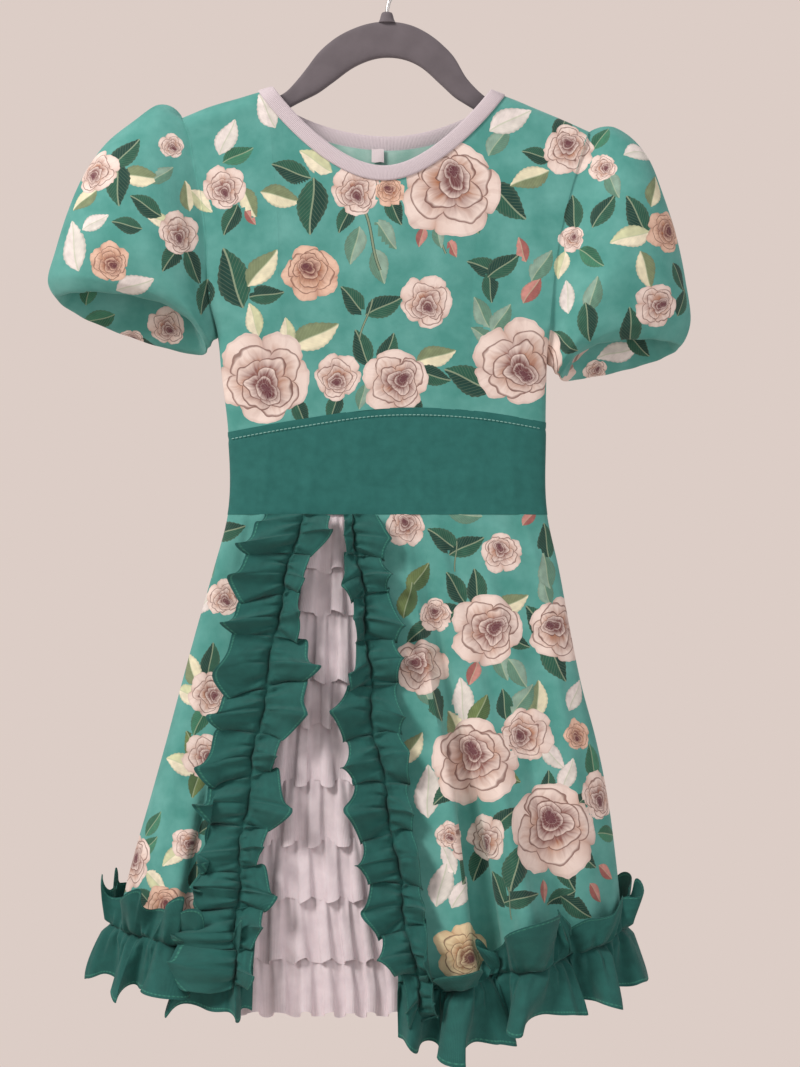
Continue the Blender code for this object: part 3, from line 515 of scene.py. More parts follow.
def cloth(name, grid, wall, outside, inside, ring=False, flip=False, marks=None):
    """A thin closed shell of cloth under the grid of its outer face, rows by columns.

    The attribute weave holds the distances along and across the flat cloth in millimetres, or the
    marks given for them.
    """
    rows, columns = grid.shape[:2]
    inner = grid - unit_normals(grid, ring, flip) * wall
    lengths = np.linalg.norm(np.diff(grid, axis=1), axis=2).mean(0)
    heights = np.linalg.norm(np.diff(grid, axis=0), axis=2).mean(1)
    along = np.concatenate([[0], np.cumsum(lengths)])
    across = np.concatenate([[0], np.cumsum(heights)])
    if marks is None:
        marks = np.stack(np.broadcast_arrays(along[None, :], across[:, None], 0 * across[:, None]), -1)
    order = np.arange(rows * columns).reshape(rows, columns)
    wide = np.concatenate([order, order[:, :1]], 1) if ring else order
    quads = np.stack([wide[:-1, :-1], wide[:-1, 1:], wide[1:, 1:], wide[1:, :-1]], -1).reshape(-1, 4)
    if flip:
        quads = quads[:, ::-1]
    count = rows * columns
    borders = [wide[0], wide[-1][::-1]]
    if not ring:
        borders = [np.concatenate([wide[0], wide[1:, -1], wide[-1, -2::-1], wide[-2::-1, 0]])]
    rims = []
    for border in borders:
        rim = np.stack([border[1:], border[:-1], border[:-1] + count, border[1:] + count], -1)
        rims.append(rim[:, ::-1] if flip else rim)
    faces = np.concatenate([quads, quads[:, ::-1] + count, *rims])
    made = place(name, np.stack([grid, inner]), faces, (outside, inside), [("weave", np.stack([marks, marks]))])
    slots = np.zeros(len(faces), np.int32)
    slots[len(quads) : 2 * len(quads)] = 1
    made.data.polygons.foreach_set("material_index", slots)
    made["outer_faces"] = len(quads)
    return made


def chart_for(side):
    """The print's chart for one side: the back has the front's, mirrored and shifted, with its middle filled."""
    roses, leaves = list(ROSES), list(LEAVES)
    if side == BACK:
        roses = [(kind, -x + 6, z + 9, size, 180 - to) for kind, x, z, size, to in ROSES]
        leaves = [(kind, -x + 6, z + 9, size, None if to is None else 180 - to)
                  for kind, x, z, size, to in LEAVES]
        roses += [(kind, x - 96, z + 14, size, to + 50) for kind, x, z, size, to in ROSES
                  if z < SKIRT_TOP - 40 and x > 20]
        roses += [(kind, x - 6, z - 30, size, to + 110) for kind, x, z, size, to in ROSES
                  if z < SKIRT_TOP - 40 and x > 60]
        leaves += [(kind, x - 96, z + 14, size, to) for kind, x, z, size, to in LEAVES
                   if z < SKIRT_TOP - 40 and x > 20]
        leaves += [(kind, x - 6, z - 30, size, None) for kind, x, z, size, to in LEAVES
                   if z < SKIRT_TOP - 40 and x > 60]
    kept = []
    for rose in roses:
        apart = all(math.hypot(rose[1] - r[1], rose[2] - r[2]) > 0.8 * (rose[3] + r[3]) for r in kept)
        if apart or side == FRONT:
            kept.append(rose)
    clear = []
    for leaf in leaves:
        near = min(kept, key=lambda r: math.hypot(leaf[1] - r[1], leaf[2] - r[2]) - r[3])
        to = leaf[4]
        if to is None:
            to = math.degrees(math.atan2(leaf[2] - near[2], leaf[1] - near[1]))
        if side == FRONT or all(math.hypot(leaf[1] - c[1], leaf[2] - c[2]) > 0.8 * leaf[3] for c in clear):
            clear.append((*leaf[:4], to))
    return kept, clear


ROSE_KINDS = ["rose", "peach", "gold"]
LEAF_KINDS = ["dark", "two", "ghost", "grey", "bud", "olive", "cream", "green", "stem"]


def print_on(piece, side_of):
    """Writes each motif's own coordinates to the corners of the faces that it covers.

    side_of gives FRONT or BACK for each face from its place and normal. Leaves go by turns to two
    layers, so that neighbours can overlap.
    """
    mesh = piece.data
    outer = piece["outer_faces"]
    points = np.empty(len(mesh.vertices) * 3, np.float32)
    mesh.vertices.foreach_get("co", points)
    points = points.reshape(-1, 3) / MM
    loops = np.empty(len(mesh.loops), np.int32)
    mesh.loops.foreach_get("vertex_index", loops)
    corners = points[loops[: 4 * outer].reshape(outer, 4)]
    middle = corners.mean(1)
    normal = np.cross(corners[:, 2] - corners[:, 0], corners[:, 3] - corners[:, 1])
    normal /= np.maximum(np.linalg.norm(normal, axis=1, keepdims=True), 1e-9)
    sides = side_of(middle, normal)
    layers = {key: np.full((len(loops), 3), 9.0, np.float32) for key in ("rose", "leaf_a", "leaf_b")}
    best = {key: np.full(outer, 1e9) for key in layers}
    for side in (FRONT, BACK):
        roses, leaves = chart_for(side)
        motifs = [("rose", kind, ROSE_KINDS, x, z, size, to) for kind, x, z, size, to in roses]
        motifs += [("leaf_" + "ab"[index % 2], kind, LEAF_KINDS, x, z, size, to)
                   for index, (kind, x, z, size, to) in enumerate(leaves)]
        facing = (sides == side) & (normal[:, 1] * side > 0.12)
        if not facing.any():
            continue
        for index, (layer, kind, kinds, x, z, size, to) in enumerate(motifs):
            off = np.hypot(middle[:, 0] - x, middle[:, 2] - z) + np.where(facing, 0, 1e6)
            at = int(off.argmin())
            if off[at] > max(size, 8):
                continue
            n = normal[off < size * 0.9 + 4].mean(0)
            n /= np.linalg.norm(n)
            centre = middle[at] + np.array([x - middle[at, 0], 0, z - middle[at, 2]])
            if off[at] < 4:
                centre[1] = middle[at, 1] - (n[0] * (x - middle[at, 0]) + n[2] * (z - middle[at, 2])) / n[1]
            right = np.cross(n, (0, 0, 1.0)) * -1
            right /= np.linalg.norm(right)
            up = np.cross(n, right) * -1
            up *= np.sign(up[2])
            right *= np.sign(right[0])
            cos, sin = math.cos(math.radians(to)), math.sin(math.radians(to))
            near = np.flatnonzero(np.linalg.norm(middle - centre, axis=1) < size * 1.5 + 8)
            near = near[(normal[near] @ n > -0.1) & (sides[near] == side)]
            away = corners[near] - centre
            u, v = away @ right / size, away @ up / size
            u, v = u * cos + v * sin, v * cos - u * sin
            flat = 1.0 if layer == "rose" else 2.3
            score = np.hypot(u.mean(1), v.mean(1) * flat)
            take = (score < 1.1 + 6 / size) & (score < best[layer][near])
            chosen = near[take]
            best[layer][chosen] = score[take]
            spots = chosen[:, None] * 4 + np.arange(4)
            seed = kinds.index(kind) + 0.15 + 0.7 * (index * 0.618 % 1)
            layers[layer][spots, 0] = u[take]
            layers[layer][spots, 1] = v[take]
            layers[layer][spots, 2] = seed
    for key, values in layers.items():
        made = mesh.attributes.new(key, "FLOAT_VECTOR", "CORNER")
        made.data.foreach_set("vector", values.ravel())


# Printed cotton jersey: soft and matt with a little nap, the print sunk in the knit. The real wales are
# about 0.5 mm apart, too fine to show, so they are drawn 1.1 mm apart.
WALES = 1.1
PETAL_RINGS = [
    # radius, petals, turn, depth of the notches, where the shade of the base ends, outline
    (1.00, 5, 0.2, 0.20, 0.30, 0.78, 0.15),
    (0.80, 4, 1.0, 0.26, 0.44, 0.92, 0.75),
    (0.60, 4, 0.1, 0.28, 0.58, 1.02, 0.85),
    (0.42, 3, 1.3, 0.28, 0.60, 1.00, 0.90),
    (0.27, 3, 0.6, 0.28, 0.66, 1.04, 0.90),
    (0.14, 2, 1.4, 0.28, 0.80, 1.30, 0.60),
]
HEART_OFF = 0.36
ROSE_LIGHT = ["f3e2d8", "ecc9b2", "f3e0b6"]
ROSE_DARK = ["a5796b", "9c6350", "b08a52"]
LEAF_UPPER = ["1b463c", "82916c", "efe7e2", "8faf9e", "cc8f86", "6f8350", "f2ebcf", "2f6b52", "23483c"]
LEAF_LOWER = ["2a5f4c", "efe9c8", "e2ded6", "64907c", "a6635f", "4c673f", "d5dab0", "3f8366", "23483c"]

jersey, tree = empty_material("Printed cotton jersey")


def kinds_ramp(tree, kind, colours):
    """One of the colours by the whole part of kind."""
    share = node(tree, "Math", (node(tree, "Math", (kind,), operation="FLOOR"), 0.5), operation="ADD")
    share = node(tree, "Math", (share, float(len(colours))), operation="DIVIDE")
    stops = [(index / len(colours), linear(colour)) for index, colour in enumerate(colours)]
    made = node(tree, "ValToRGB", (share,), ramp=stops)
    made.node.color_ramp.interpolation = "CONSTANT"
    return made


def leaf_inside(tree, at):
    """Whether the point lies in the leaf, with its share of the leaf's width and its two coordinates."""
    u = node(tree, "SeparateXYZ", (at,))
    v, kind = u.node.outputs[1], u.node.outputs[2]
    bend = node(tree, "Math", (node(tree, "Math", (u, 2.2), operation="MULTIPLY"),), operation="SINE")
    v = node(tree, "Math", (bend, 0.07, v), operation="MULTIPLY_ADD")
    tip = node(tree, "Math", (u, u), operation="MULTIPLY")
    tip = node(tree, "Math", (1.0, tip), operation="SUBTRACT")
    skew = node(tree, "Math", (u, -0.16, 0.52), operation="MULTIPLY_ADD")
    width = node(tree, "Math", (tip, skew), operation="MULTIPLY")
    teeth = node(tree, "Math", (node(tree, "Math", (u, 30.0), operation="MULTIPLY"),), operation="SINE")
    width = node(tree, "Math", (teeth, 0.014, width), operation="MULTIPLY_ADD")
    stem = node(tree, "Math", (kind, 8.0), operation="GREATER_THAN")
    thin = node(tree, "Math", (tip, 0.0), operation="GREATER_THAN")
    thin = node(tree, "Math", (thin, 0.05), operation="MULTIPLY")
    width = node(tree, "MixRGB", (stem, width, thin))
    wide = node(tree, "Math", (v,), operation="ABSOLUTE")
    share = node(tree, "Math", (wide, width), operation="DIVIDE")
    inside = node(tree, "Math", (wide, width), operation="LESS_THAN")
    positive = node(tree, "Math", (tip, 0.0), operation="GREATER_THAN")
    return node(tree, "Math", (inside, positive), operation="MULTIPLY"), share, u, v, kind


weave = node(tree, "Attribute", attribute_name="weave").node.outputs["Vector"]
where = node(tree, "NewGeometry")
wash = node(tree, "TexNoise", {"Vector": where, "Scale": 34.0, "Detail": 3.0, "Roughness": 0.6})
wash = node(tree, "ValToRGB", (wash,), ramp=[(0.32, linear("4b978d")), (0.72, linear("69afa6"))])
ground = wash

spots = []
for key in ("leaf_a", "leaf_b"):
    spots.append(node(tree, "Attribute", attribute_name=key).node.outputs["Vector"])
in_a = leaf_inside(tree, spots[0])[0]
either = node(tree, "MixRGB", (in_a, spots[1], spots[0]))
inside, share, u, v, kind = leaf_inside(tree, either)
upper, lower = kinds_ramp(tree, kind, LEAF_UPPER), kinds_ramp(tree, kind, LEAF_LOWER)
half = node(tree, "Math", (v, 0.0), operation="GREATER_THAN")
leaf = node(tree, "MixRGB", (half, lower, upper))
streak = node(tree, "TexNoise", {"Vector": either, "Scale": 2.5, "Detail": 1.0})
streak = node(tree, "MapRange", {0: streak, 1: 0.3, 2: 0.75, 3: 0.84, 4: 1.12})
leaf = node(tree, "MixRGB", (1.0, leaf, streak), blend_type="MULTIPLY")
slant = node(tree, "Math", (node(tree, "Math", (v,), operation="ABSOLUTE"), -1.2, u), operation="MULTIPLY_ADD")
vein = node(tree, "Math", (node(tree, "Math", (slant, 6.0), operation="MULTIPLY"),), operation="FRACT")
vein = node(tree, "Math", (vein, 0.14), operation="LESS_THAN")
rib = node(tree, "Math", (node(tree, "Math", (v,), operation="ABSOLUTE"), 0.03), operation="LESS_THAN")
lines = node(tree, "Math", (node(tree, "Math", (vein, 0.3), operation="MULTIPLY"), rib), operation="MAXIMUM")
leaf = node(tree, "MixRGB", (node(tree, "Math", (lines, 0.5), operation="MULTIPLY"), leaf, linear("b9c9a6")))
border = node(tree, "MapRange", {0: share, 1: 0.75, 2: 1.0, 3: 0.0, 4: 0.4})
leaf = node(tree, "MixRGB", (border, leaf, linear("5d6f5c")))
ground = node(tree, "MixRGB", (inside, ground, leaf))

spot = node(tree, "Attribute", attribute_name="rose").node.outputs["Vector"]
kind = node(tree, "SeparateXYZ", (spot,)).node.outputs[2]
warp = node(tree, "TexNoise", {"Vector": spot, "Scale": 1.5, "Detail": 2.0}).node.outputs["Color"]
warp = node(tree, "VectorMath", (warp, (0.5, 0.5, 0.5)), operation="SUBTRACT")
warp = node(tree, "VectorMath", {0: warp, 3: 0.5}, operation="SCALE")
spot = node(tree, "VectorMath", (spot, warp), operation="ADD")
spin = node(tree, "Math", (kind, 6.283), operation="MULTIPLY")
light, shade = kinds_ramp(tree, kind, ROSE_LIGHT), kinds_ramp(tree, kind, ROSE_DARK)
warm = node(tree, "TexNoise", {"Vector": spot, "Scale": 2.6, "Detail": 2.0})
warm = node(tree, "MapRange", {0: warm, 1: 0.42, 2: 0.62, 3: 0.0, 4: 0.8})
rose, in_rose = light, None
for ring, petals, turned, notch, dark_to, light_from, line in PETAL_RINGS:
    about = node(tree, "VectorMath", (spot, (-(1 - ring) * HEART_OFF, 0, 0)), operation="ADD")
    about = node(tree, "VectorMath", (about, (1, 1, 0)), operation="MULTIPLY")
    far = node(tree, "VectorMath", (about,), operation="LENGTH").node.outputs["Value"]
    u = node(tree, "SeparateXYZ", (about,))
    angle = node(tree, "Math", (u.node.outputs[1], u), operation="ARCTAN2")
    lobe = node(tree, "Math", (angle, petals / 2, turned), operation="MULTIPLY_ADD")
    if ring < 1:
        lobe = node(tree, "Math", (spin, 0.5, lobe), operation="MULTIPLY_ADD")
    lobe = node(tree, "Math", (node(tree, "Math", (lobe,), operation="COSINE"),), operation="ABSOLUTE")
    lobe = node(tree, "Math", (lobe, 0.55), operation="POWER")
    edge = node(tree, "Math", (lobe, notch * ring, (1 - notch) * ring), operation="MULTIPLY_ADD")
    reach = node(tree, "Math", (far, edge), operation="DIVIDE")
    within = node(tree, "Math", (reach, 1.0), operation="LESS_THAN")
    fan = node(tree, "CombineXYZ", (node(tree, "Math", (angle, 4.0), operation="MULTIPLY"), far, kind))
    fan = node(tree, "TexNoise", {"Vector": fan, "Scale": 1.8, "Detail": 2.0})
    glow = node(tree, "MapRange", {0: reach, 1: dark_to, 2: light_from, 3: 0.0, 4: 1.0})
    glow = node(tree, "Math", (fan, 0.9, glow), operation="MULTIPLY_ADD")
    glow = node(tree, "Math", (glow, 0.42), operation="SUBTRACT", use_clamp=True)
    crevice = node(tree, "Math", (lobe, 0.6, 0.4), operation="MULTIPLY_ADD")
    glow = node(tree, "Math", (glow, crevice), operation="MULTIPLY")
    deep = node(tree, "MixRGB", (min(1.0, 1.15 * (1 - ring)), shade, linear("65323c")))
    deep = node(tree, "MixRGB", (warm, deep, linear("b3764f"))) if ring > 0.5 else deep
    petal = node(tree, "MixRGB", (glow, deep, light))
    outline = node(tree, "MapRange", {0: reach, 1: 0.93, 2: 0.97, 3: 0.0, 4: line})
    petal = node(tree, "MixRGB", (outline, petal, linear("6e4034")))
    if in_rose is None:
        rose, in_rose = petal, within
    else:
        rose = node(tree, "MixRGB", (within, rose, petal))
ground = node(tree, "MixRGB", (in_rose, ground, rose))

wale = node(tree, "VectorMath", {0: weave, 3: 1 / WALES}, operation="SCALE")
wale = node(tree, "TexWave", {"Vector": wale, "Scale": 0.5, "Distortion": 1.2, "Detail": 1.0,
                              "Detail Scale": 0.4}, bands_direction="X")
fuzz = node(tree, "TexNoise", {"Vector": weave, "Scale": 0.35, "Detail": 4.0})
relief = node(tree, "Math", (wale, 0.35, fuzz), operation="MULTIPLY_ADD")
knit = node(tree, "Bump", {"Strength": 0.5, "Distance": 0.0005, "Height": relief})
finished(jersey, tree, node(tree, "BsdfPrincipled", {
    "Base Color": ground, "Roughness": 0.82, "Normal": knit, "Sheen Weight": 0.12,
    "Sheen Roughness": 0.6, "IOR": 1.45, "Specular IOR Level": 0.3}))

# Reverse of the printed jersey: the dye hardly comes through, so it shows as a pale milky green
reverse, tree = empty_material("Reverse of the printed jersey")
weave = node(tree, "Attribute", attribute_name="weave").node.outputs["Vector"]
tint = node(tree, "TexNoise", {"Vector": weave, "Scale": 0.08, "Detail": 2.0})
tint = node(tree, "ValToRGB", (tint,), ramp=[(0.35, linear("8fbcb0")), (0.7, linear("a9cdc3"))])
fuzz = node(tree, "TexNoise", {"Vector": weave, "Scale": 0.9, "Detail": 2.0})
knit = node(tree, "Bump", {"Strength": 0.4, "Distance": 0.0004, "Height": fuzz})
finished(reverse, tree, node(tree, "BsdfPrincipled", {
    "Base Color": tint, "Roughness": 0.85, "Normal": knit, "Specular IOR Level": 0.3}))


def dress(piece, node_name):
    """Fixes a piece of cloth to the part and hides the CAD solid that it replaces."""
    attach(piece, "root")
    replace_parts(piece, node_name)
    return piece


def by_normal(middle, normal):
    return np.where(normal[:, 1] > 0, BACK, FRONT)


neck = neck_columns(81)
sides = ease(np.linspace(0, 1, 19)[:-1]) * 0.75 + np.linspace(0, 1, 19)[:-1] * 0.25
f = np.concatenate([neck[0] * sides, neck, 1 - (1 - neck[-1]) * sides[::-1]])
for name, side in (("bodice_front", FRONT), ("bodice_back", BACK)):
    top = top_of_column(f, side)
    low = smooth(WAIST_SEAM, 1, body(f, -395.0, side)[:, 0]) - 0.4
    rows = [low + (top - SHOULDER_ROUND - low) * t for t in np.linspace(0, 1, 76)]
    rows += [top - drop for drop in (11, 8, 5.5, 3.6, 2.2, 1.2, 0.5, 0.0)]
    grid = np.stack([body(f, z, side) for z in rows])
    out = np.stack([outward(f, z, side) for z in rows])
    edge = ease(np.minimum(f, 1 - f) / 0.12)
    fade = edge[None, :] * ease((top[None, :] - grid[..., 2]) / 26)
    lift = creases(grid[..., 0], grid[..., 2], side, BODICE_CREASES) + limp(grid[..., 0], grid[..., 2], 0.55)
    grid = grid + out * np.maximum(lift * fade, -2.5)[..., None]
    piece = cloth(name + "_cloth", grid, 0.8, jersey, reverse, flip=side == BACK)
    print_on(piece, by_normal)
    dress(piece, name)

# Neckband
# One strip of white cotton rib, folded double and sewn round the neckline on an overlock machine. It
# lies flat on the hanger's neck, its outside in front and its inside seen at the back.
BAND_WIDTH = 12.0
BAND_THICK = 1.8
# Cotton rib: fine knitted cords square to the edge, matt white with a pink cast from the room, and painted shade
# that darkens the valleys between the cords
rib_knit, tree = empty_material("White cotton rib")
weave = node(tree, "Attribute", attribute_name="weave").node.outputs["Vector"]
cords = node(tree, "TexWave", {"Vector": weave, "Scale": 0.26, "Distortion": 0.3}, bands_direction="X")
fuzz = node(tree, "TexNoise", {"Vector": weave, "Scale": 1.2, "Detail": 2.0})
relief = node(tree, "Math", (fuzz, 0.6, cords), operation="MULTIPLY_ADD")
# Painted shade: the same cord wave as the relief makes the valleys darker and the raised cords paler
tone = node(tree, "MixRGB", (cords, linear("cfc3c8"), linear("ddd3d8")))
knit = node(tree, "Bump", {"Strength": 0.55, "Distance": 0.0005, "Height": relief})
finished(rib_knit, tree, node(tree, "BsdfPrincipled", {
    "Base Color": tone, "Roughness": 0.88, "Normal": knit, "Subsurface Weight": 0.1,
    "Subsurface Radius": (0.002, 0.002, 0.002), "Specular IOR Level": 0.25}))

f = neck_columns(91)
front = body(f, top_of_column(f, FRONT), FRONT)
back = body(f, top_of_column(f, BACK), BACK)[::-1]
loop = np.concatenate([front[:-1], back[:-1]])
loop[0, 1] = loop[len(f) - 1, 1] = 0.0
ahead, behind = np.roll(loop, -1, 0), np.roll(loop, 1, 0)
tangent = ahead - behind
tangent /= np.linalg.norm(tangent, axis=1, keepdims=True)
inward = np.stack([tangent[:, 2], np.zeros(len(loop)), -tangent[:, 0]], 1)
inward = inward * np.sign(((np.array([NECK_CENTRE, 0, -100.0]) - loop) * inward).sum(1, keepdims=True))
tips = np.exp(-((np.minimum(np.arange(len(loop)), len(loop) - np.arange(len(loop))) / 3.0) ** 2))
tips_far = np.exp(-(((np.arange(len(loop)) - len(f) + 1) / 3.0) ** 2))
inward = inward * (1 - tips - tips_far)[:, None] + np.outer(tips, (1, 0, 0.3)) + np.outer(tips_far, (-1, 0,
    0.3))
inward /= np.linalg.norm(inward, axis=1, keepdims=True)
tangent -= inward * (tangent * inward).sum(1, keepdims=True)
tangent /= np.linalg.norm(tangent, axis=1, keepdims=True)
out = np.cross(inward, tangent)
section = [(-0.4, -0.2), (1.2, 0.25), (3.5, 0.55), (6.0, 0.65), (8.5, 0.55), (11.0, 0.2), (12.0, -0.5),
           (11.7, -1.3), (10.5, -1.7), (6.0, -1.8), (1.2, -1.7), (-0.3, -1.3)]
rings = np.stack([loop + inward * across + out * up for across, up in section], 1)
count, corners = rings.shape[:2]
order = np.arange(count * corners).reshape(count, corners)
faces = np.stack([order, np.roll(order, -1, 1), np.roll(np.roll(order, -1, 0), -1, 1), np.roll(order, -1,
    0)], -1)
along = np.concatenate([[0], np.cumsum(np.linalg.norm(np.diff(loop, axis=0), axis=1))])
marks = np.stack(np.broadcast_arrays(along[:, None], np.array([s[0] for s in section])[None, :], 0.0), -1)
neckband = place("neckband_rib", rings, faces.reshape(-1, 4), (rib_knit,), [("weave", marks)])
if np.cross(rings[5, 3] - rings[5, 2], rings[6, 2] - rings[5, 2])[1] > 0:
    neckband.data.flip_normals()
dress(neckband, "neckband")

# Neck tab
# A small plain tab of white tape, folded double and caught in the seam inside the back of the neck.
# Nothing is written on it. It hangs free below the neckband.
# White woven tape: smooth, with a soft sheen
tape, tree = empty_material("White woven tape")
where = node(tree, "NewGeometry")
slub = node(tree, "TexNoise", {"Vector": where, "Scale": 1500.0, "Detail": 2.0})
tone = node(tree, "MixRGB", (slub, linear("ddd0d3"), linear("eee4e6")))
finished(tape, tree, node(tree, "BsdfPrincipled", {"Base Color": tone, "Roughness": 0.6}))

x, y, _ = body(0.475, -176.0, BACK)
across = np.linspace(-1, 1, 15)
grid = np.stack([np.stack([x + 5 * across, y - WALL - 1.5 - 0.5 * (1 - across**2) * t + 0 * across,
                           -170.5 - 11 * t + 0.25 * np.sin(4 * across)], 1) for t in np.linspace(0, 1, 10)])
tab = cloth("neck_tab_tape", grid, 0.7, tape, tape)
dress(tab, "neck_tab")

# Puff sleeves
# Each is one piece of printed jersey, gathered into the armhole at its head and drawn in at the hem by
# a narrow elastic, which rolls the edge under so that the sleeve stands out like a small balloon.

# Sleeve rings, fanned about the armpit: outer x and height, inner x and height, half depth,
# tilt that drops the back, lift of the front beside the body
LEFT_SLEEVE = [
    (-166, -148, -139.0, -326.0, 11, 0, 0),
    (-184, -139, -141.5, -328.5, 21, 0, 1),
    (-207, -153, -143.0, -330.5, 30, 1, 3),
    (-230, -170, -144.5, -332.5, 35, 3, 7),
    (-247, -194, -145.5, -334.0, 38, 5, 12),
    (-260, -224, -146.5, -335.5, 38, 8, 17),
    (-271, -256, -147.5, -336.5, 35, 10, 21),
    (-277, -282, -149.0, -337.0, 31, 12, 23),
    (-268, -299, -152.0, -335.5, 26, 12, 22),
    (-257, -293, -158.0, -328.0, 21, 10, 17),
    (-252, -281, -163.0, -317.0, 18, 8, 12),
]

RIGHT_SLEEVE = [
    (167, -161, 132.5, -348.0, 11, 0, 0),
    (181, -157, 134.5, -350.5, 20, 0, 1),
    (199, -166, 136.0, -353.0, 28, 1, 3),
    (215, -184, 137.5, -355.0, 33, 2, 6),
    (226, -212, 139.0, -356.5, 36, 4, 10),
    (236, -244, 140.5, -358.0, 36, 6, 13),
    (244, -279, 142.0, -359.0, 34, 8, 15),
    (248, -314, 144.0, -359.5, 30, 9, 16),
    (239, -338, 148.0, -358.0, 25, 9, 15),
    (229, -333, 154.0, -350.0, 20, 8, 12),
    (224, -321, 158.0, -339.0, 17, 6, 9),
]
# Gathers of a sleeve head: angle round the ring from the top, half width, height
HEAD_GATHERS = [
    (-78, 7, 2.0), (-64, 6, 2.8), (-52, 5, 2.2), (-41, 6, 3.9), (-30, 4, 2.0), (-20, 5, 3.2),
    (-9, 4, 2.4), (2, 5, 4.2), (13, 4, 2.2), (23, 5, 3.4), (34, 4, 2.6), (45, 6, 4.3), (57, 5, 2.4),
    (70, 7, 3.2), (86, 6, 1.8), (-96, 8, 1.6), (102, 8, 1.6),
]
# Soft puckers round the hem: angle, half width, height
HEM_PUCKERS = [
    (-160, 9, 1.6), (-132, 7, 1.2), (-104, 9, 1.9), (-78, 7, 1.2), (-50, 8, 1.8), (-22, 7, 1.3), (8, 9, 1.9),
    (36, 7, 1.2), (62, 8, 1.8), (90, 7, 1.4), (118, 9, 2.0), (146, 7, 1.3), (172, 8, 1.6),
]
RINGS, ROUND = 84, 144
turn = np.linspace(0, 2 * math.pi, ROUND, endpoint=False)
cosine, sine = np.cos(turn), np.sin(turn)
degrees = (np.degrees(turn) + 180) % 360 - 180
for name, table, side_x in (("sleeve_left", LEFT_SLEEVE, -1.0), ("sleeve_right", RIGHT_SLEEVE, 1.0)):
    numbered = [(index, *row) for index, row in enumerate(table)]
    rings = []
    for index in np.linspace(0, len(table) - 1, RINGS):
        out_x, out_z, in_x, in_z, half, tilt, lift = [float(smooth(numbered, k, index)) for k in range(1, 8)]
        drawn = float(np.interp(index, [7, 8, 9, 10], [1, 0.85, 0.5, 0.2]))
        half, tilt, lift = half * drawn, tilt * drawn, lift * drawn
        x = (out_x + in_x) / 2 + (out_x - in_x) / 2 * cosine
        z = (out_z + in_z) / 2 + (out_z - in_z) / 2 * cosine
        y = -half * np.sign(sine) * np.abs(sine) ** 0.85
        z = z + tilt * sine + lift * np.maximum(sine, 0) * (0.5 - 0.5 * cosine) + 24 * (1 - drawn)
        if index < 1:
            column = 1 if side_x < 0 else 2
            seam_x = smooth(BODY, column, z) - side_x * 0.3
            edge = body(np.full_like(z, 0.0 if side_x < 0 else 1.0), z, FRONT)[:, 1]
            seam_y = -np.sign(sine) * np.maximum(np.abs(edge), 0.4) * (np.abs(sine) > 0.01)
            share = math.sqrt(index)
            x, y = seam_x + (x - seam_x) * index, seam_y + (y - seam_y) * share
        ring = np.stack([x, y, z], 1)
        fade = max(0.0, 1 - abs(index - 1.2) / 3.2) ** 1.2 if index >= 1 else 0.15 + 0.8 * index**0.5
        heads = sum(h * np.exp(-(((degrees - a) / (w * (1 + 0.25 * index))) ** 2)) for a, w, h in HEAD_GATHERS)
        late = float(ease((index - 5.5) / 3)) * (1 - 0.4 * float(ease((index - 8.6) / 1.4)))
        ends = sum(h * np.exp(-(((degrees - a) / w) ** 2)) for a, w, h in HEM_PUCKERS)
        soft = 1.3 * math.sin(math.pi * min(index / 8,
            1)) * np.sin(3 * turn + 0.8 * index) * np.sin(index + 2 * turn)
        away = ring - ring.mean(0)
        away /= np.maximum(np.linalg.norm(away, axis=1, keepdims=True), 1e-6)
        rings.append(ring + away * (0.85 * heads * fade + ends * late + soft)[:, None])
    grid = np.array(rings)
    piece = cloth(name + "_cloth", grid, 0.8, jersey, reverse, ring=True, flip=side_x < 0)
    print_on(piece, by_normal)
    dress(piece, name)

# Waistband, front and back
# Two straight bands of plain green woven cotton, joined at the sides. A topstitched line, 6 mm below
# the bodice seam, holds the seam allowance down.
WAIST_TOP = -471.0


def whole_columns(count, crowding):
    """Places from 0 to 1 across a front or back, closer together at the rounded sides."""
    half = 0.5 * np.linspace(0, 1, count) ** crowding
    half = np.concatenate([[0, EDGE_STEP], half[1:]])
    return np.concatenate([half, 1 - half[-2::-1]])


WAIST_CREASES = [
    (FRONT, -100, -458, -96, -410, 5, 0.9), (FRONT, -64, -466, -58, -404, 6, 0.7),
    (FRONT, -20, -464, -24, -402, 6, 0.9),
    (FRONT, 30, -466, 24, -406, 5, 0.7), (FRONT, 64, -462, 72, -408, 6, 0.8),
    (FRONT, 104, -464, 98, -404, 6, 0.9),
    (FRONT, -120, -440, -60, -452, 9, 0.8), (FRONT, 40, -446, 118, -436, 10, 0.8),
    (FRONT, -30, -448, 40, -452, 8, -0.6),
    (BACK, -92, -462, -98, -404, 6, 0.9), (BACK, -40, -464, -32, -402, 6, 0.8),
    (BACK, 22, -466, 16, -404, 6, 0.9),
    (BACK, 80, -462, 88, -408, 6, 0.9), (BACK, -110, -440, 0, -450, 10, 0.7),
    (BACK, 20, -438, 110, -446, 9, -0.6),
]
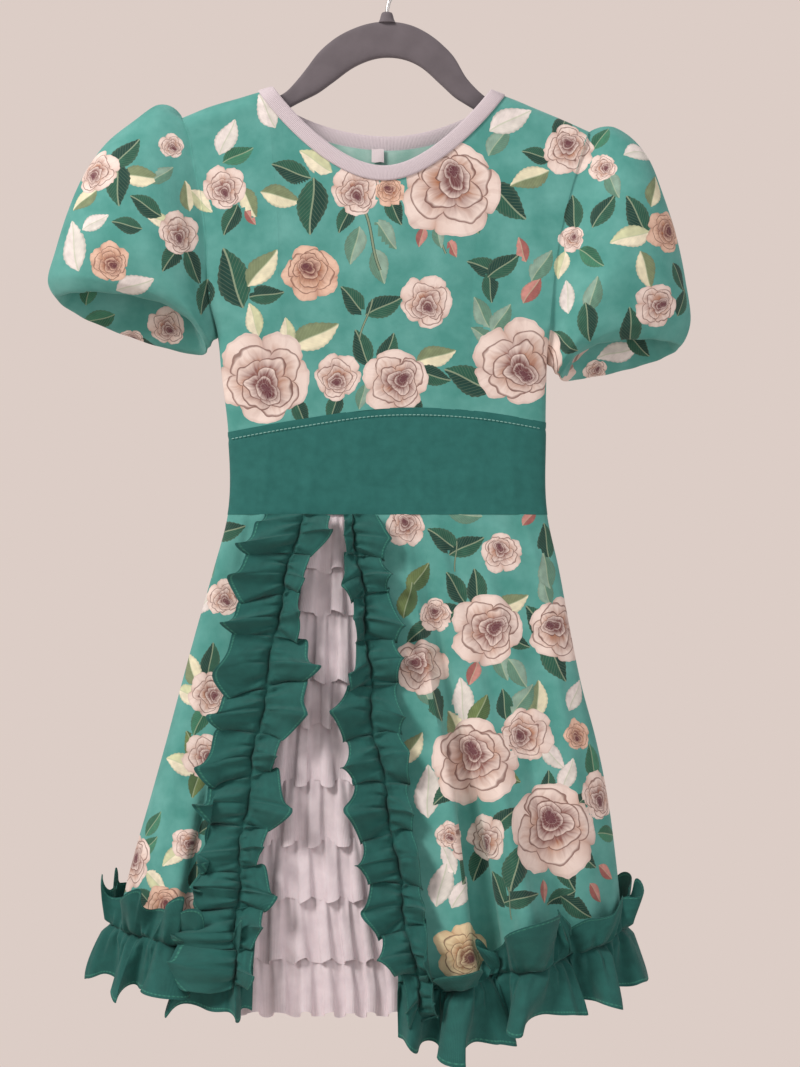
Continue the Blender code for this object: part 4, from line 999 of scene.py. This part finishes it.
# Plain woven cotton and polyester: a flat matt green whose crossing threads, 0.35 mm apart in life, are
# drawn 0.9 mm apart so that they just show, the raised threads painted paler as a painted highlight
green, tree = empty_material("Green woven cotton")
weave = node(tree, "Attribute", attribute_name="weave").node.outputs["Vector"]
thread = node(tree, "TexWave", {"Vector": weave, "Scale": 0.35, "Distortion": 0.8}, bands_direction="X")
cross = node(tree, "TexWave", {"Vector": weave, "Scale": 0.35, "Distortion": 0.8}, bands_direction="Y")
plain = node(tree, "Math", (thread, cross), operation="MAXIMUM")
slub = node(tree, "TexNoise", {"Vector": weave, "Scale": 0.12, "Detail": 3.0})
relief = node(tree, "Math", (slub, 1.2, plain), operation="MULTIPLY_ADD")
tone = node(tree, "ValToRGB", (slub,), ramp=[(0.3, linear("1c625c")), (0.75, linear("266e68"))])
# Painted highlight: the raised threads of the weave are painted paler than the cloth between them
tone = node(tree, "MixRGB", (node(tree, "Math", (plain, 0.12), operation="MULTIPLY"), tone, linear("3f8f86")))
weft = node(tree, "Bump", {"Strength": 0.4, "Distance": 0.0004, "Height": relief})
finished(green, tree, node(tree, "BsdfPrincipled", {
    "Base Color": tone, "Roughness": 0.72, "Normal": weft, "Sheen Weight": 0.1,
    "Sheen Roughness": 0.5, "Specular IOR Level": 0.3}))
# Green sewing thread: a shade paler than the cloth and slightly glossy
sewing, tree = empty_material("Green polyester thread")
where = node(tree, "NewGeometry")
ply = node(tree, "TexNoise", {"Vector": where, "Scale": 3000.0, "Detail": 1.0})
tone = node(tree, "MixRGB", (ply, linear("7fb3aa"), linear("98c6bd")))
finished(sewing, tree, node(tree, "BsdfPrincipled", {"Base Color": tone, "Roughness": 0.45}))

STITCH, STITCH_STEP, STITCH_DROP = 2.6, 3.4, 6.0
f = whole_columns(75, 1.5)
for name, side in (("waistband_front", FRONT), ("waistband_back", BACK)):
    seam = smooth(WAIST_SEAM, 1, body(f, -395.0, side)[:, 0])
    grid = np.stack([body(f, WAIST_TOP - 0.6 + (seam - WAIST_TOP + 0.6) * t, side) for t in np.linspace(0,
        1, 40)])
    out = np.stack([outward(f, row[:, 2], side) for row in grid])
    height = (grid[..., 2] - WAIST_TOP) / (seam - WAIST_TOP)
    fade = ease(np.minimum(f, 1 - f) / 0.08)[None, :] * (0.25 + 0.75 * ease(np.minimum(height,
        1 - height) / 0.2))
    lift = creases(grid[..., 0], grid[..., 2], side, WAIST_CREASES) + limp(grid[..., 0], grid[..., 2], 0.35)
    tuck = -0.5 * np.exp(-(((seam - grid[..., 2] - STITCH_DROP) / 1.4) ** 2))
    grid = grid + out * (lift * fade + tuck + 0.25)[..., None]
    piece = cloth(name + "_cloth", grid, 0.7, green, green, flip=side == BACK)
    dress(piece, name)

    fine = np.linspace(0.012, 0.988, 900)
    line = body(fine, smooth(WAIST_SEAM, 1, body(fine, -395.0, side)[:, 0]) - STITCH_DROP, side)
    line = line + outward(fine, line[:, 2], side) * 0.1
    run = np.concatenate([[0], np.cumsum(np.linalg.norm(np.diff(line, axis=0), axis=1))])
    points, faces = [], []
    for begin in np.arange(0, run[-1] - STITCH, STITCH_STEP):
        for k, (share, thick) in enumerate(((0.0, 0.1), (0.2, 0.38), (0.8, 0.38), (1.0, 0.1))):
            at = np.array([np.interp(begin + STITCH * share, run, line[:, axis]) for axis in range(3)])
            n = np.array([0, side, 0.0])
            for a in np.linspace(0, 2 * math.pi, 6, endpoint=False):
                points.append(at + n * (thick * math.sin(a) + 0.7) + np.array([0, 0, thick * math.cos(a)]))
        base = len(points) - 24
        for k in range(3):
            for c in range(6):
                d = (c + 1) % 6
                faces.append((base + k * 6 + c, base + k * 6 + d, base + k * 6 + 6 + d, base + k * 6 + 6 + c))
    stitches = place(name + "_topstitch", points, faces, (sewing,))
    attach(stitches, "root")

# Printed skirt: front left, front right and back
# Three flared panels of the printed jersey, cut as parts of a circle, sewn into the waistband's lower
# edge. The front is split, and long soft folds fall from the waist to the hem.

# Hem lines of the printed skirt: x, height
FRONT_HEM = [
    (-240, -800),
    (-190, -812),
    (-120, -828),
    (0, -842),
    (53, -848),
    (93, -836),
    (125, -832),
    (165, -818),
    (210, -802),
]
BACK_HEM = [(-240, -800), (-110, -822), (0, -828), (110, -824), (210, -802)]

# Edges of the front split, which the vertical ruffles follow: height, left edge x, right edge x
SPLIT = [
    (-472, -69, -29),
    (-530, -83, -20),
    (-585, -93, -15),
    (-640, -102, -11),
    (-694, -111, -1),
    (-742, -117, 7),
    (-800, -120, 16),
    (-850, -121, 26),
]


def split_f(column):
    return lambda z: f_at(smooth(SPLIT, column, z), z)


SKIRT_CREASES = [
    (FRONT, 79, -480, 142, -522, 6, 2.2), (FRONT, 96, -478, 124, -500, 6, -1.6),
    (FRONT, 40, -478, 52, -530, 5, 1.8),
    (FRONT, 60, -476, 68, -516, 5, 1.6), (FRONT, 22, -476, 24, -540, 5, -1.6),
    (FRONT, 112, -476, 138, -560, 6, 1.8),
    (FRONT, -128, -476, -140, -530, 5, 1.8), (FRONT, -112, -474, -120, -520, 5, -1.6),
    (FRONT, -100, -474, -106, -560, 6, 1.6),
    (FRONT, 20, -520, 72, -850, 6, 7.0), (FRONT, 34, -530, 90, -850, 7, -9.0),
    (FRONT, 62, -660, 76, -840, 12, -6.0),
    (FRONT, 92, -700, 120, -840, 8, 8.0), (FRONT, 112, -640, 146, -840, 8, -6.0),
    (FRONT, 128, -540, 172, -800, 10, 5.0),
    (FRONT, 52, -500, 96, -640, 8, -4.0), (FRONT, 80, -520, 128, -660, 9, 4.0),
    (FRONT, -146, -700, -164, -812, 6, -7.0), (FRONT, -158, -560, -190, -780, 8, 3.0),
    (FRONT, 92, -640, 112, -720, 14, 2.0), (FRONT, 120, -700, 140, -780, 12, 2.4),
    (FRONT, 60, -600, 74, -690, 12, -1.8),
    (FRONT, -170, -660, -186, -760, 9, 2.0), (FRONT, -140, -600, -158, -690, 9, -1.8),
    (BACK, -100, -476, -112, -540, 6, 2.0), (BACK, -70, -474, -76, -530, 6, 1.8),
    (BACK, -30, -474, -30, -545, 6, 2.0),
    (BACK, 8, -474, 10, -530, 6, -1.8), (BACK, 44, -474, 50, -550, 6, 2.0), (BACK, 84, -474, 94, -540, 6, 1.8),
    (BACK, -120, -620, -140, -740, 12, 2.2), (BACK, -20, -640, -30, -760, 13, -2.0),
    (BACK, 60, -620, 70, -740, 13, 2.2),
]
crowded = np.concatenate([[0, 0.004], np.linspace(0, 1, 34)[1:] ** 1.3])
far_side = 1 - np.concatenate([[0, 0.002], np.linspace(0, 1, 64)[1:] ** 1.2])[::-1]
PANELS = [
    ("skirt_front_left", FRONT, lambda z: 0 * z, split_f(1), crowded, (0.13, 0.36), 0.029),
    ("skirt_front_right", FRONT, split_f(2), lambda z: 0 * z + 1, far_side, (0.24, 0.38), 0.062),
    ("skirt_back", BACK, lambda z: 0 * z, lambda z: 0 * z + 1, whole_columns(66, 1.2), (0.50, 0.38), 0.125),
]
for name, side, begin, end, shares, flat, area in PANELS:
    hem_table = FRONT_HEM if side == FRONT else BACK_HEM
    grid = []
    for t in np.linspace(0, 1, 104):
        z = np.full_like(shares, SKIRT_TOP + 0.6)
        for _ in range(12):
            f = begin(z) + (end(z) - begin(z)) * shares
            hem = smooth(hem_table, 1, body(f, z, side)[:, 0])
            z = SKIRT_TOP + 0.6 + (hem - SKIRT_TOP - 0.6) * t
        point = body(f, z, side)
        lift = creases(point[:, 0], z, side, SKIRT_CREASES) + limp(point[:, 0], z, 0.9 * ease(t * 4))
        lift = lift * ease(np.minimum(f, 1 - f) / 0.1)
        grid.append(point + outward(f, z, side) * np.maximum(lift, -9.0)[:, None])
    piece = cloth(name + "_cloth", np.array(grid), 0.8, jersey, reverse, flip=side == FRONT)
    print_on(piece, by_normal)
    dress(piece, name)

# Double ruffles down the split
# Each is a straight strip of the green cotton, its two long edges narrowly hemmed, gathered by one line
# of stitches along the middle and sewn to the edge of the split so that both halves stand up in waves.

# Waves of each ruffle in order: share of length, reach on one side, reach on the other, lift
LEFT_RUFFLE = [
    (34, 42, 27, 11),
    (33, 41, 16, 12),
    (36, 40, 17, 12),
    (42, 38, 41, 14),
    (38, 38, 36, 12),
    (36, 40, 19, 12),
    (40, 39, 39, 13),
    (36, 37, 18, 11),
    (30, 34, 33, 10),
]

RIGHT_RUFFLE = [
    (36, 28, 8, 9),
    (34, 24, 17, 11),
    (38, 32, 8, 12),
    (38, 28, 13, 12),
    (40, 28, 33, 13),
    (40, 27, 30, 12),
    (42, 22, 33, 13),
    (42, 22, 32, 12),
    (36, 20, 32, 11),
]


def wave_at(waves, t):
    """Phase, the two reaches and the lift at each share t of a ruffle's length."""
    table = np.array(waves, float)
    ends = np.concatenate([[0], np.cumsum(table[:, 0])])
    at = np.asarray(t) * ends[-1]
    middles = (ends[:-1] + ends[1:]) / 2
    phase = 2 * math.pi * np.interp(at, ends, np.arange(len(ends)))
    return [phase] + [np.interp(at, middles, table[:, column]) for column in (1, 2, 3)]


def crossed(waves, per_wave):
    """Shares of length at which a ruffle is cut, evenly within each wave."""
    table = np.array(waves, float)
    ends = np.concatenate([[0], np.cumsum(table[:, 0])]) / table[:, 0].sum()
    count = len(waves) * per_wave + 1
    return np.interp(np.linspace(0, len(waves), count), np.arange(len(ends)), ends)


# Hemmed green cotton: the same cloth, with a paler rolled and overlocked border 1.6 mm wide at both
# edges and a sunk line of stitches along the gathered middle
hemmed, tree = empty_material("Green woven cotton, hemmed")
weave = node(tree, "Attribute", attribute_name="weave").node.outputs["Vector"]
parts = node(tree, "SeparateXYZ", (weave,))
along_mm, across_mm, edge_mm = parts, parts.node.outputs[1], parts.node.outputs[2]
thread = node(tree, "TexWave", {"Vector": weave, "Scale": 0.35, "Distortion": 0.8}, bands_direction="X")
slub = node(tree, "TexNoise", {"Vector": weave, "Scale": 0.09, "Detail": 3.0})
tone = node(tree, "ValToRGB", (slub,), ramp=[(0.3, linear("17554f")), (0.75, linear("20645d"))])
# Painted highlight: the raised threads are painted paler, as in the plain green cloth
tone = node(tree, "MixRGB", (node(tree, "Math", (thread, 0.1), operation="MULTIPLY"), tone, linear("3f8f86")))
off_line = node(tree, "Math", (node(tree, "Math", (edge_mm, 2.2), operation="SUBTRACT"),), operation="ABSOLUTE")
hem_band = node(tree, "MapRange", {0: off_line, 1: 0.75, 2: 0.35, 3: 0.0, 4: 1.0})
beads = node(tree, "Math", (node(tree, "Math", (along_mm, 2.2), operation="MULTIPLY"),), operation="SINE")
beads = node(tree, "MapRange", {0: beads, 1: -0.4, 2: 0.6, 3: 0.35, 4: 1.0})
cord_tone = node(tree, "Math", (hem_band, beads), operation="MULTIPLY")
cord_share = node(tree, "Math", (cord_tone, 0.55), operation="MULTIPLY")
tone = node(tree, "MixRGB", (cord_share, tone, linear("4a9c86")))
mid = node(tree, "Math", (across_mm,), operation="ABSOLUTE")
mid = node(tree, "MapRange", {0: mid, 1: 0.0, 2: 1.3, 3: 1.0, 4: 0.0})
relief = node(tree, "Math", (cord_tone, 3.0, node(tree, "Math", (slub, 1.5, thread), operation="MULTIPLY_ADD")),
              operation="MULTIPLY_ADD")
relief = node(tree, "Math", (mid, -2.0, relief), operation="MULTIPLY_ADD")
weft = node(tree, "Bump", {"Strength": 0.45, "Distance": 0.0005, "Height": relief})
finished(hemmed, tree, node(tree, "BsdfPrincipled", {
    "Base Color": tone, "Roughness": 0.7, "Normal": weft, "Sheen Weight": 0.1,
    "Sheen Roughness": 0.5, "Specular IOR Level": 0.3}))

# Each strip runs on over the hem ruffle's end, where the real one turns the corner
LEFT_END = [(32, 36, 22, 11), (30, 34, 18, 10)]
RIGHT_END = [(38, 26, 26, 12), (36, 26, 10, 10)]
LINES = np.sign(np.linspace(-1, 1, 41)) * np.abs(np.linspace(-1, 1, 41)) ** 1.15


def waves_of(waves, t, seed):
    """Rise, slip along the ruffle and share of the reach for every line across it and place along it."""
    phase, near, far, lift = wave_at(waves, t)
    size, half = np.abs(LINES)[:, None], np.sign(LINES)[:, None]
    turn = phase + size * half * (0.35 + 0.9 * np.sin(0.55 * phase + seed))
    swell = 0.5 - 0.5 * np.cos(turn)
    minor = np.sin(2 * turn + 2.2 * np.sin(0.43 * phase + seed) + half)
    small = np.sin(4 * turn + 1.5 * np.sin(0.7 * phase + 1.3 * seed) + 0.8 * half)
    tiny = np.sin(7 * turn + 2.0 * np.sin(0.9 * phase + seed))
    gather = np.clip(size / 0.15, 0, 1) * np.exp(-size / 0.4)
    rise = size**0.7 * (0.6 + 1.6 * lift * swell) + 2.4 * size * minor
    rise = rise + gather * (2.6 * (1 + small) + 0.9 * (1 + tiny)) + 2.4 * size**6 * np.sin(turn + 1.0)
    slip = size * (3.2 * np.sin(turn) + 3.6 * np.sin(2 * turn + 0.5)) + 1.1 * gather * np.sin(4 * turn)
    reach = 0.88 - 0.13 * np.cos(turn) + 0.07 * np.sin(2 * turn + seed) * size
    sway = (1 - 0.6 * size) * (1.5 * np.sin(0.5 * phase + seed) + 0.6 * np.sin(2.3 * phase))
    return np.maximum(rise, 0.2), slip, reach, sway, near, far


def ruffle_marks(grid, reach_mm):
    """Distances along the strip, across it and from its nearer edge."""
    middle = grid[len(LINES) // 2]
    along = np.concatenate([[0], np.cumsum(np.linalg.norm(np.diff(middle, axis=0), axis=1))]) * 2.2
    across = LINES[:, None] * reach_mm
    return np.stack(np.broadcast_arrays(along[None, :], across, reach_mm - np.abs(across)), -1)


for name, waves, column, outer, low, clear, seed, flat in (
    ("front_ruffle_left", LEFT_RUFFLE + LEFT_END, 1, -1, -846.0, 1.8, 0.4, (0.070, 0.62)),
    ("front_ruffle_right", RIGHT_RUFFLE + RIGHT_END, 2, 1, -872.0, 1.0, 2.1, (0.058, 0.62)),
):
    t = crossed(waves, 44)
    rise, slip, share, sway, far, near = waves_of(waves, t, seed)
    high = SKIRT_TOP + 0.8
    rows = []
    for index, across in enumerate(LINES):
        reach = (far if across * outer > 0 else near) * share[index]
        top_fade = ease(t / 0.03)
        z = high + (low - high) * t + slip[index] * top_fade - 5.0 * abs(across) * rise[index] / 16
        z = np.clip(z, low - 4, high)
        x = smooth(SPLIT, column, z) + across * reach + sway[index]
        f = f_at(x, z)
        over_hem = 13 * ease((-785 - z) / 45)
        rows.append(body(f, z, FRONT) + outward(f, z, FRONT) * (clear + 0.5 + over_hem + rise[index])[:, None])
    grid = np.array(rows)
    piece = cloth(name + "_cloth", grid, 0.5, hemmed, hemmed, marks=ruffle_marks(grid, flat[0] * 500))
    dress(piece, name)

# Hem ruffle, in three lengths
# The same double ruffle, gathered along the printed skirt's lower edge: its upper half stands up over
# the print and its lower half hangs free below the hem.

HEM_LEFT = [
    (26, 36, 44, 13),
    (31, 38, 46, 15),
    (27, 36, 38, 12),
    (33, 38, 46, 16),
    (28, 34, 40, 12),
]

HEM_BACK = [
    (29, 37, 42, 13),
    (32, 36, 44, 15),
    (27, 38, 40, 12),
    (31, 36, 45, 16),
    (34, 38, 42, 14),
    (28, 35, 44, 13),
    (33, 38, 40, 16),
    (26, 36, 43, 12),
    (32, 38, 45, 15),
    (30, 36, 41, 14),
    (28, 38, 44, 13),
    (33, 36, 42, 16),
    (29, 38, 40, 13),
    (31, 36, 44, 14),
]
# The right length's upper half has fallen forward at its first waves
HEM_RIGHT = [
    (33, 12, 48, 14), (31, 16, 52, 16), (29, 26, 48, 13), (38, 40, 46, 17), (29, 38, 40, 13), (34, 34, 44, 15),
    (28, 36, 42, 13),
]
for name, waves, side, start_x, end_x, side_ends, clear, seed, flat in (
    ("hem_ruffle_front_left", HEM_LEFT, FRONT, -225.0, -104.0, (1, 0), 3.0, 1.2, (0.080, 0.25)),
    ("hem_ruffle_front_right", HEM_RIGHT, FRONT, 10.0, 194.0, (0, 1), 2.1, 0.3, (0.086, 0.36)),
    ("hem_ruffle_back", HEM_BACK, BACK, -225.0, 194.0, (1, 1), 3.0, 2.6, (0.080, 0.74)),
):
    t = crossed(waves, 44 if side == FRONT else 36)
    rise, slip, share, sway, upper, lower = waves_of(waves, t, seed)
    hem_table = FRONT_HEM if side == FRONT else BACK_HEM
    rough = np.linspace(0, 1, 400)
    start_f, end_f = (float(f_at(x, -815.0)) for x in (start_x, end_x))
    path = body(start_f + (end_f - start_f) * rough, -815.0, side)
    length = np.concatenate([[0], np.cumsum(np.linalg.norm(np.diff(path, axis=0), axis=1))])
    rows = []
    for index, across in enumerate(LINES):
        place_mm = t * length[-1] + 0.6 * slip[index] * ease(t / 0.04) * ease((1 - t) / 0.04)
        f = start_f + (end_f - start_f) * np.interp(place_mm, length, rough)
        f = np.clip(f, 0.0006, 0.9994)
        hem = smooth(hem_table, 1, body(f, -815.0, side)[:, 0])
        reach = (upper if across < 0 else lower) * share[index] ** (1.6 if across < 0 else 0.7)
        z = hem - across * reach + sway[index]
        at = body(f, z, side) if across < 0 else body(f, hem, side)
        out = outward(f, np.maximum(z, hem - 1), side)
        out[:, 2] = 0
        out /= np.linalg.norm(out, axis=1, keepdims=True)
        hang = max(across, 0) * reach
        first, last = ease(1 - t / 0.09) * (side_ends[0]), ease((t - 0.91) / 0.09) * side_ends[1]
        round_side = (first + last)[:, None]
        out = out * (1 - round_side) + np.stack([last - first, 0 * t, 0 * t], 1)
        out /= np.linalg.norm(out, axis=1, keepdims=True)
        at[:, 1] *= 1 - round_side[:, 0]
        stand = rise[index] * (1 - 0.8 * round_side[:, 0]) + (1 + 3 * abs(across)) * round_side[:, 0]
        points = at + out * (clear + 0.5 + stand + 0.12 * hang)[:, None]
        points[:, 2] = z + 2.0 * abs(across) * np.cos(np.interp(t, np.linspace(0, 1, 7), np.arange(7)) * 2)
        rows.append(points)
    grid = np.array(rows)
    piece = cloth(name + "_cloth", grid, 0.5, hemmed, hemmed, flip=side == FRONT,
                  marks=ruffle_marks(grid, flat[0] * 500))
    dress(piece, name)

# White insert: base panel and nine tiers
# A plain white jersey panel closes the split from behind, and nine strips of the same jersey are
# gathered on it one over another, each top seam hidden under the tier above.
INSERT_RECESS = 14.0
INSERT_MARGIN = 14.0
EDGE_RECESS = 2.4
INSERT_LOW = -862.0

# Tiers of the white insert: bottom height, pleats, height of its top edge over the base panel
TIERS = [
    (-517, 3, 2.9),
    (-552, 3, 2.9),
    (-607, 4, 2.9),
    (-642, 5, 2.3),
    (-688, 5, 1.8),
    (-736, 6, 2.1),
    (-780, 7, 2.9),
    (-828, 8, 2.9),
    (-870, 8, 2.9),
]


def insert_depth(x, z):
    """How far the white insert lies behind the printed skirt's surface."""
    middle = 5 + (INSERT_RECESS - 5) * ease((SKIRT_TOP - z) / 60)
    edge = np.minimum(x - smooth(SPLIT, 1, z), smooth(SPLIT, 2, z) - x) + INSERT_MARGIN
    return EDGE_RECESS + (middle - EDGE_RECESS) * ease(edge / 12)


def insert_point(share, z, margin, rise):
    """A point of the insert: share runs across it, rise stands it off the base panel."""
    left, right = smooth(SPLIT, 1, z) - margin, smooth(SPLIT, 2, z) + margin
    x = left + share * (right - left)
    depth = insert_depth(x, z) - rise
    return body(f_at(x, z), z, FRONT, folded=False) + np.stack([0 * depth, depth, 0 * depth], -1)


# White cotton jersey: matt and slightly see-through, with a faint pink cast in the shadows
white, tree = empty_material("White cotton jersey")
weave = node(tree, "Attribute", attribute_name="weave").node.outputs["Vector"]
soft = node(tree, "TexNoise", {"Vector": weave, "Scale": 0.1, "Detail": 3.0})
tone = node(tree, "ValToRGB", (soft,), ramp=[(0.3, linear("dacfd4")), (0.75, linear("e6dce0"))])
wale = node(tree, "TexWave", {"Vector": weave, "Scale": 0.3, "Distortion": 0.6}, bands_direction="X")
relief = node(tree, "Math", (soft, 1.4, wale), operation="MULTIPLY_ADD")
knit = node(tree, "Bump", {"Strength": 0.35, "Distance": 0.0004, "Height": relief})
finished(white, tree, node(tree, "BsdfPrincipled", {
    "Base Color": tone, "Roughness": 0.86, "Normal": knit, "Subsurface Weight": 0.12,
    "Subsurface Radius": (0.003, 0.002, 0.002), "Specular IOR Level": 0.25}))

share = np.linspace(0, 1, 50)
rows = []
for t in np.linspace(0, 1, 90):
    z = np.full_like(share, SKIRT_TOP - 0.4 + (INSERT_LOW - SKIRT_TOP) * t)
    rows.append(insert_point(share, z, INSERT_MARGIN, np.zeros_like(share)))
piece = cloth("insert_base_cloth", np.array(rows), 0.8, white, white, flip=True)
dress(piece, "insert_base")

for index, (bottom, pleats, seat) in enumerate(TIERS):
    top = TIERS[index - 1][0] + 8 if index else SKIRT_TOP + 0.4
    share = np.linspace(0, 1, 22 * pleats + 1)
    phase = 2 * math.pi * pleats * (share + 0.02 * np.sin(7 * share + index))
    rows = []
    for t in np.linspace(0, 1, 22):
        z = np.full_like(share, top + (bottom - top) * t)
        bell = 0.5 + 0.5 * np.cos(phase + 0.3 * t)
        z = z + 2.5 * t * np.cos(phase + 0.8 * index) + 0.7 * t * np.sin(1.7 * phase + index)
        room = insert_depth(np.full_like(z, smooth(SPLIT, 1, z).mean() + 20), z) - 4.6
        fine = (1 + np.sin(2.7 * phase + 2 * index)) * min(t / 0.12, 1) * math.exp(-1.6 * t)
        rise = seat + 0.4 + np.maximum(room - 1.4, 0.3) * t**0.7 * (0.3 + 0.8 * bell**1.2) + 0.9 * fine
        slipped = share + t * 0.16 / pleats * np.sin(2 * phase + 0.4) / 2
        rows.append(insert_point(np.clip(slipped, 0, 1), z, 2, rise))
    piece = cloth(f"tier_{index + 1}_cloth", np.array(rows), 0.6, white, white, flip=True)
    drop = abs(bottom - top) * MM + 0.004
    dress(piece, f"tier_{index + 1}")

# Floor and light
# A pale plain floor under the hanging dress, a warm pale wall tone behind it, and soft studio light
# from the upper left with a weaker fill from the right.
floor_finish, tree = empty_material("Pale painted floor")
where = node(tree, "NewGeometry")
mottle = node(tree, "TexNoise", {"Vector": where, "Scale": 6.0, "Detail": 2.0})
tone = node(tree, "MixRGB", (mottle, linear("d9cbc4"), linear("dfd2cb")))
finished(floor_finish, tree, node(tree, "BsdfPrincipled", {"Base Color": tone, "Roughness": 0.9}))
FLOOR_HEIGHT, FLOOR_RADIUS = -1.3, 1.45
turn = np.linspace(0, 2 * math.pi, 96, endpoint=False)
rim = [(FLOOR_RADIUS * math.cos(a), FLOOR_RADIUS * math.sin(a), FLOOR_HEIGHT) for a in turn]
mesh = bpy.data.meshes.new("floor")
mesh.from_pydata(rim, [], [tuple(range(len(rim)))])
mesh.materials.append(floor_finish)
floor = bpy.data.objects.new("floor", mesh)
bpy.context.scene.collection.objects.link(floor)

world = bpy.data.worlds.new("Wall tone")
bpy.context.scene.world = world
world.use_nodes = True
tree = world.node_tree
tree.nodes.clear()
seen = node(tree, "Background", {0: linear("dccdc6"), 1: 1.0})
lit = node(tree, "Background", {0: linear("f2e9e8"), 1: 0.5})
ray = node(tree, "LightPath")
mixed = node(tree, "MixShader", (ray, lit, seen))
node(tree, "OutputWorld", (mixed,))

LIGHTS = [
    # name, place, size, power, colour
    ("Key", (-1.7, -1.35, 1.15), 0.8, 55.0, "fff8f4"),
    ("Fill", (1.9, -1.9, -0.3), 1.6, 15.0, "fdf4f4"),
    ("Rim", (0.3, 1.9, 0.8), 1.4, 18.0, "fff8f2"),
]
for name, at, size, power, colour in LIGHTS:
    data = bpy.data.lights.new(name, "AREA")
    data.size, data.energy = size, power
    data.color = linear(colour)[:3]
    lamp = bpy.data.objects.new(name, data)
    lamp.location = at
    lamp.rotation_mode = "QUATERNION"
    lamp.rotation_quaternion = (Vector((0, 0, -0.5)) - Vector(at)).to_track_quat("-Z", "Y")
    bpy.context.scene.collection.objects.link(lamp)

# Camera
# A phone held level in front of the wall, 1.9 m away, as the photograph shows it.
data = bpy.data.cameras.new("Camera")
data.lens, data.sensor_width = 78.2, 36.0
camera = bpy.data.objects.new("Camera", data)
camera.location = (0.0107, -1.9, -0.487)
camera.rotation_euler = (math.radians(90), 0, 0)
bpy.context.scene.collection.objects.link(camera)
bpy.context.scene.camera = camera
bpy.context.scene.view_settings.view_transform = "Standard"
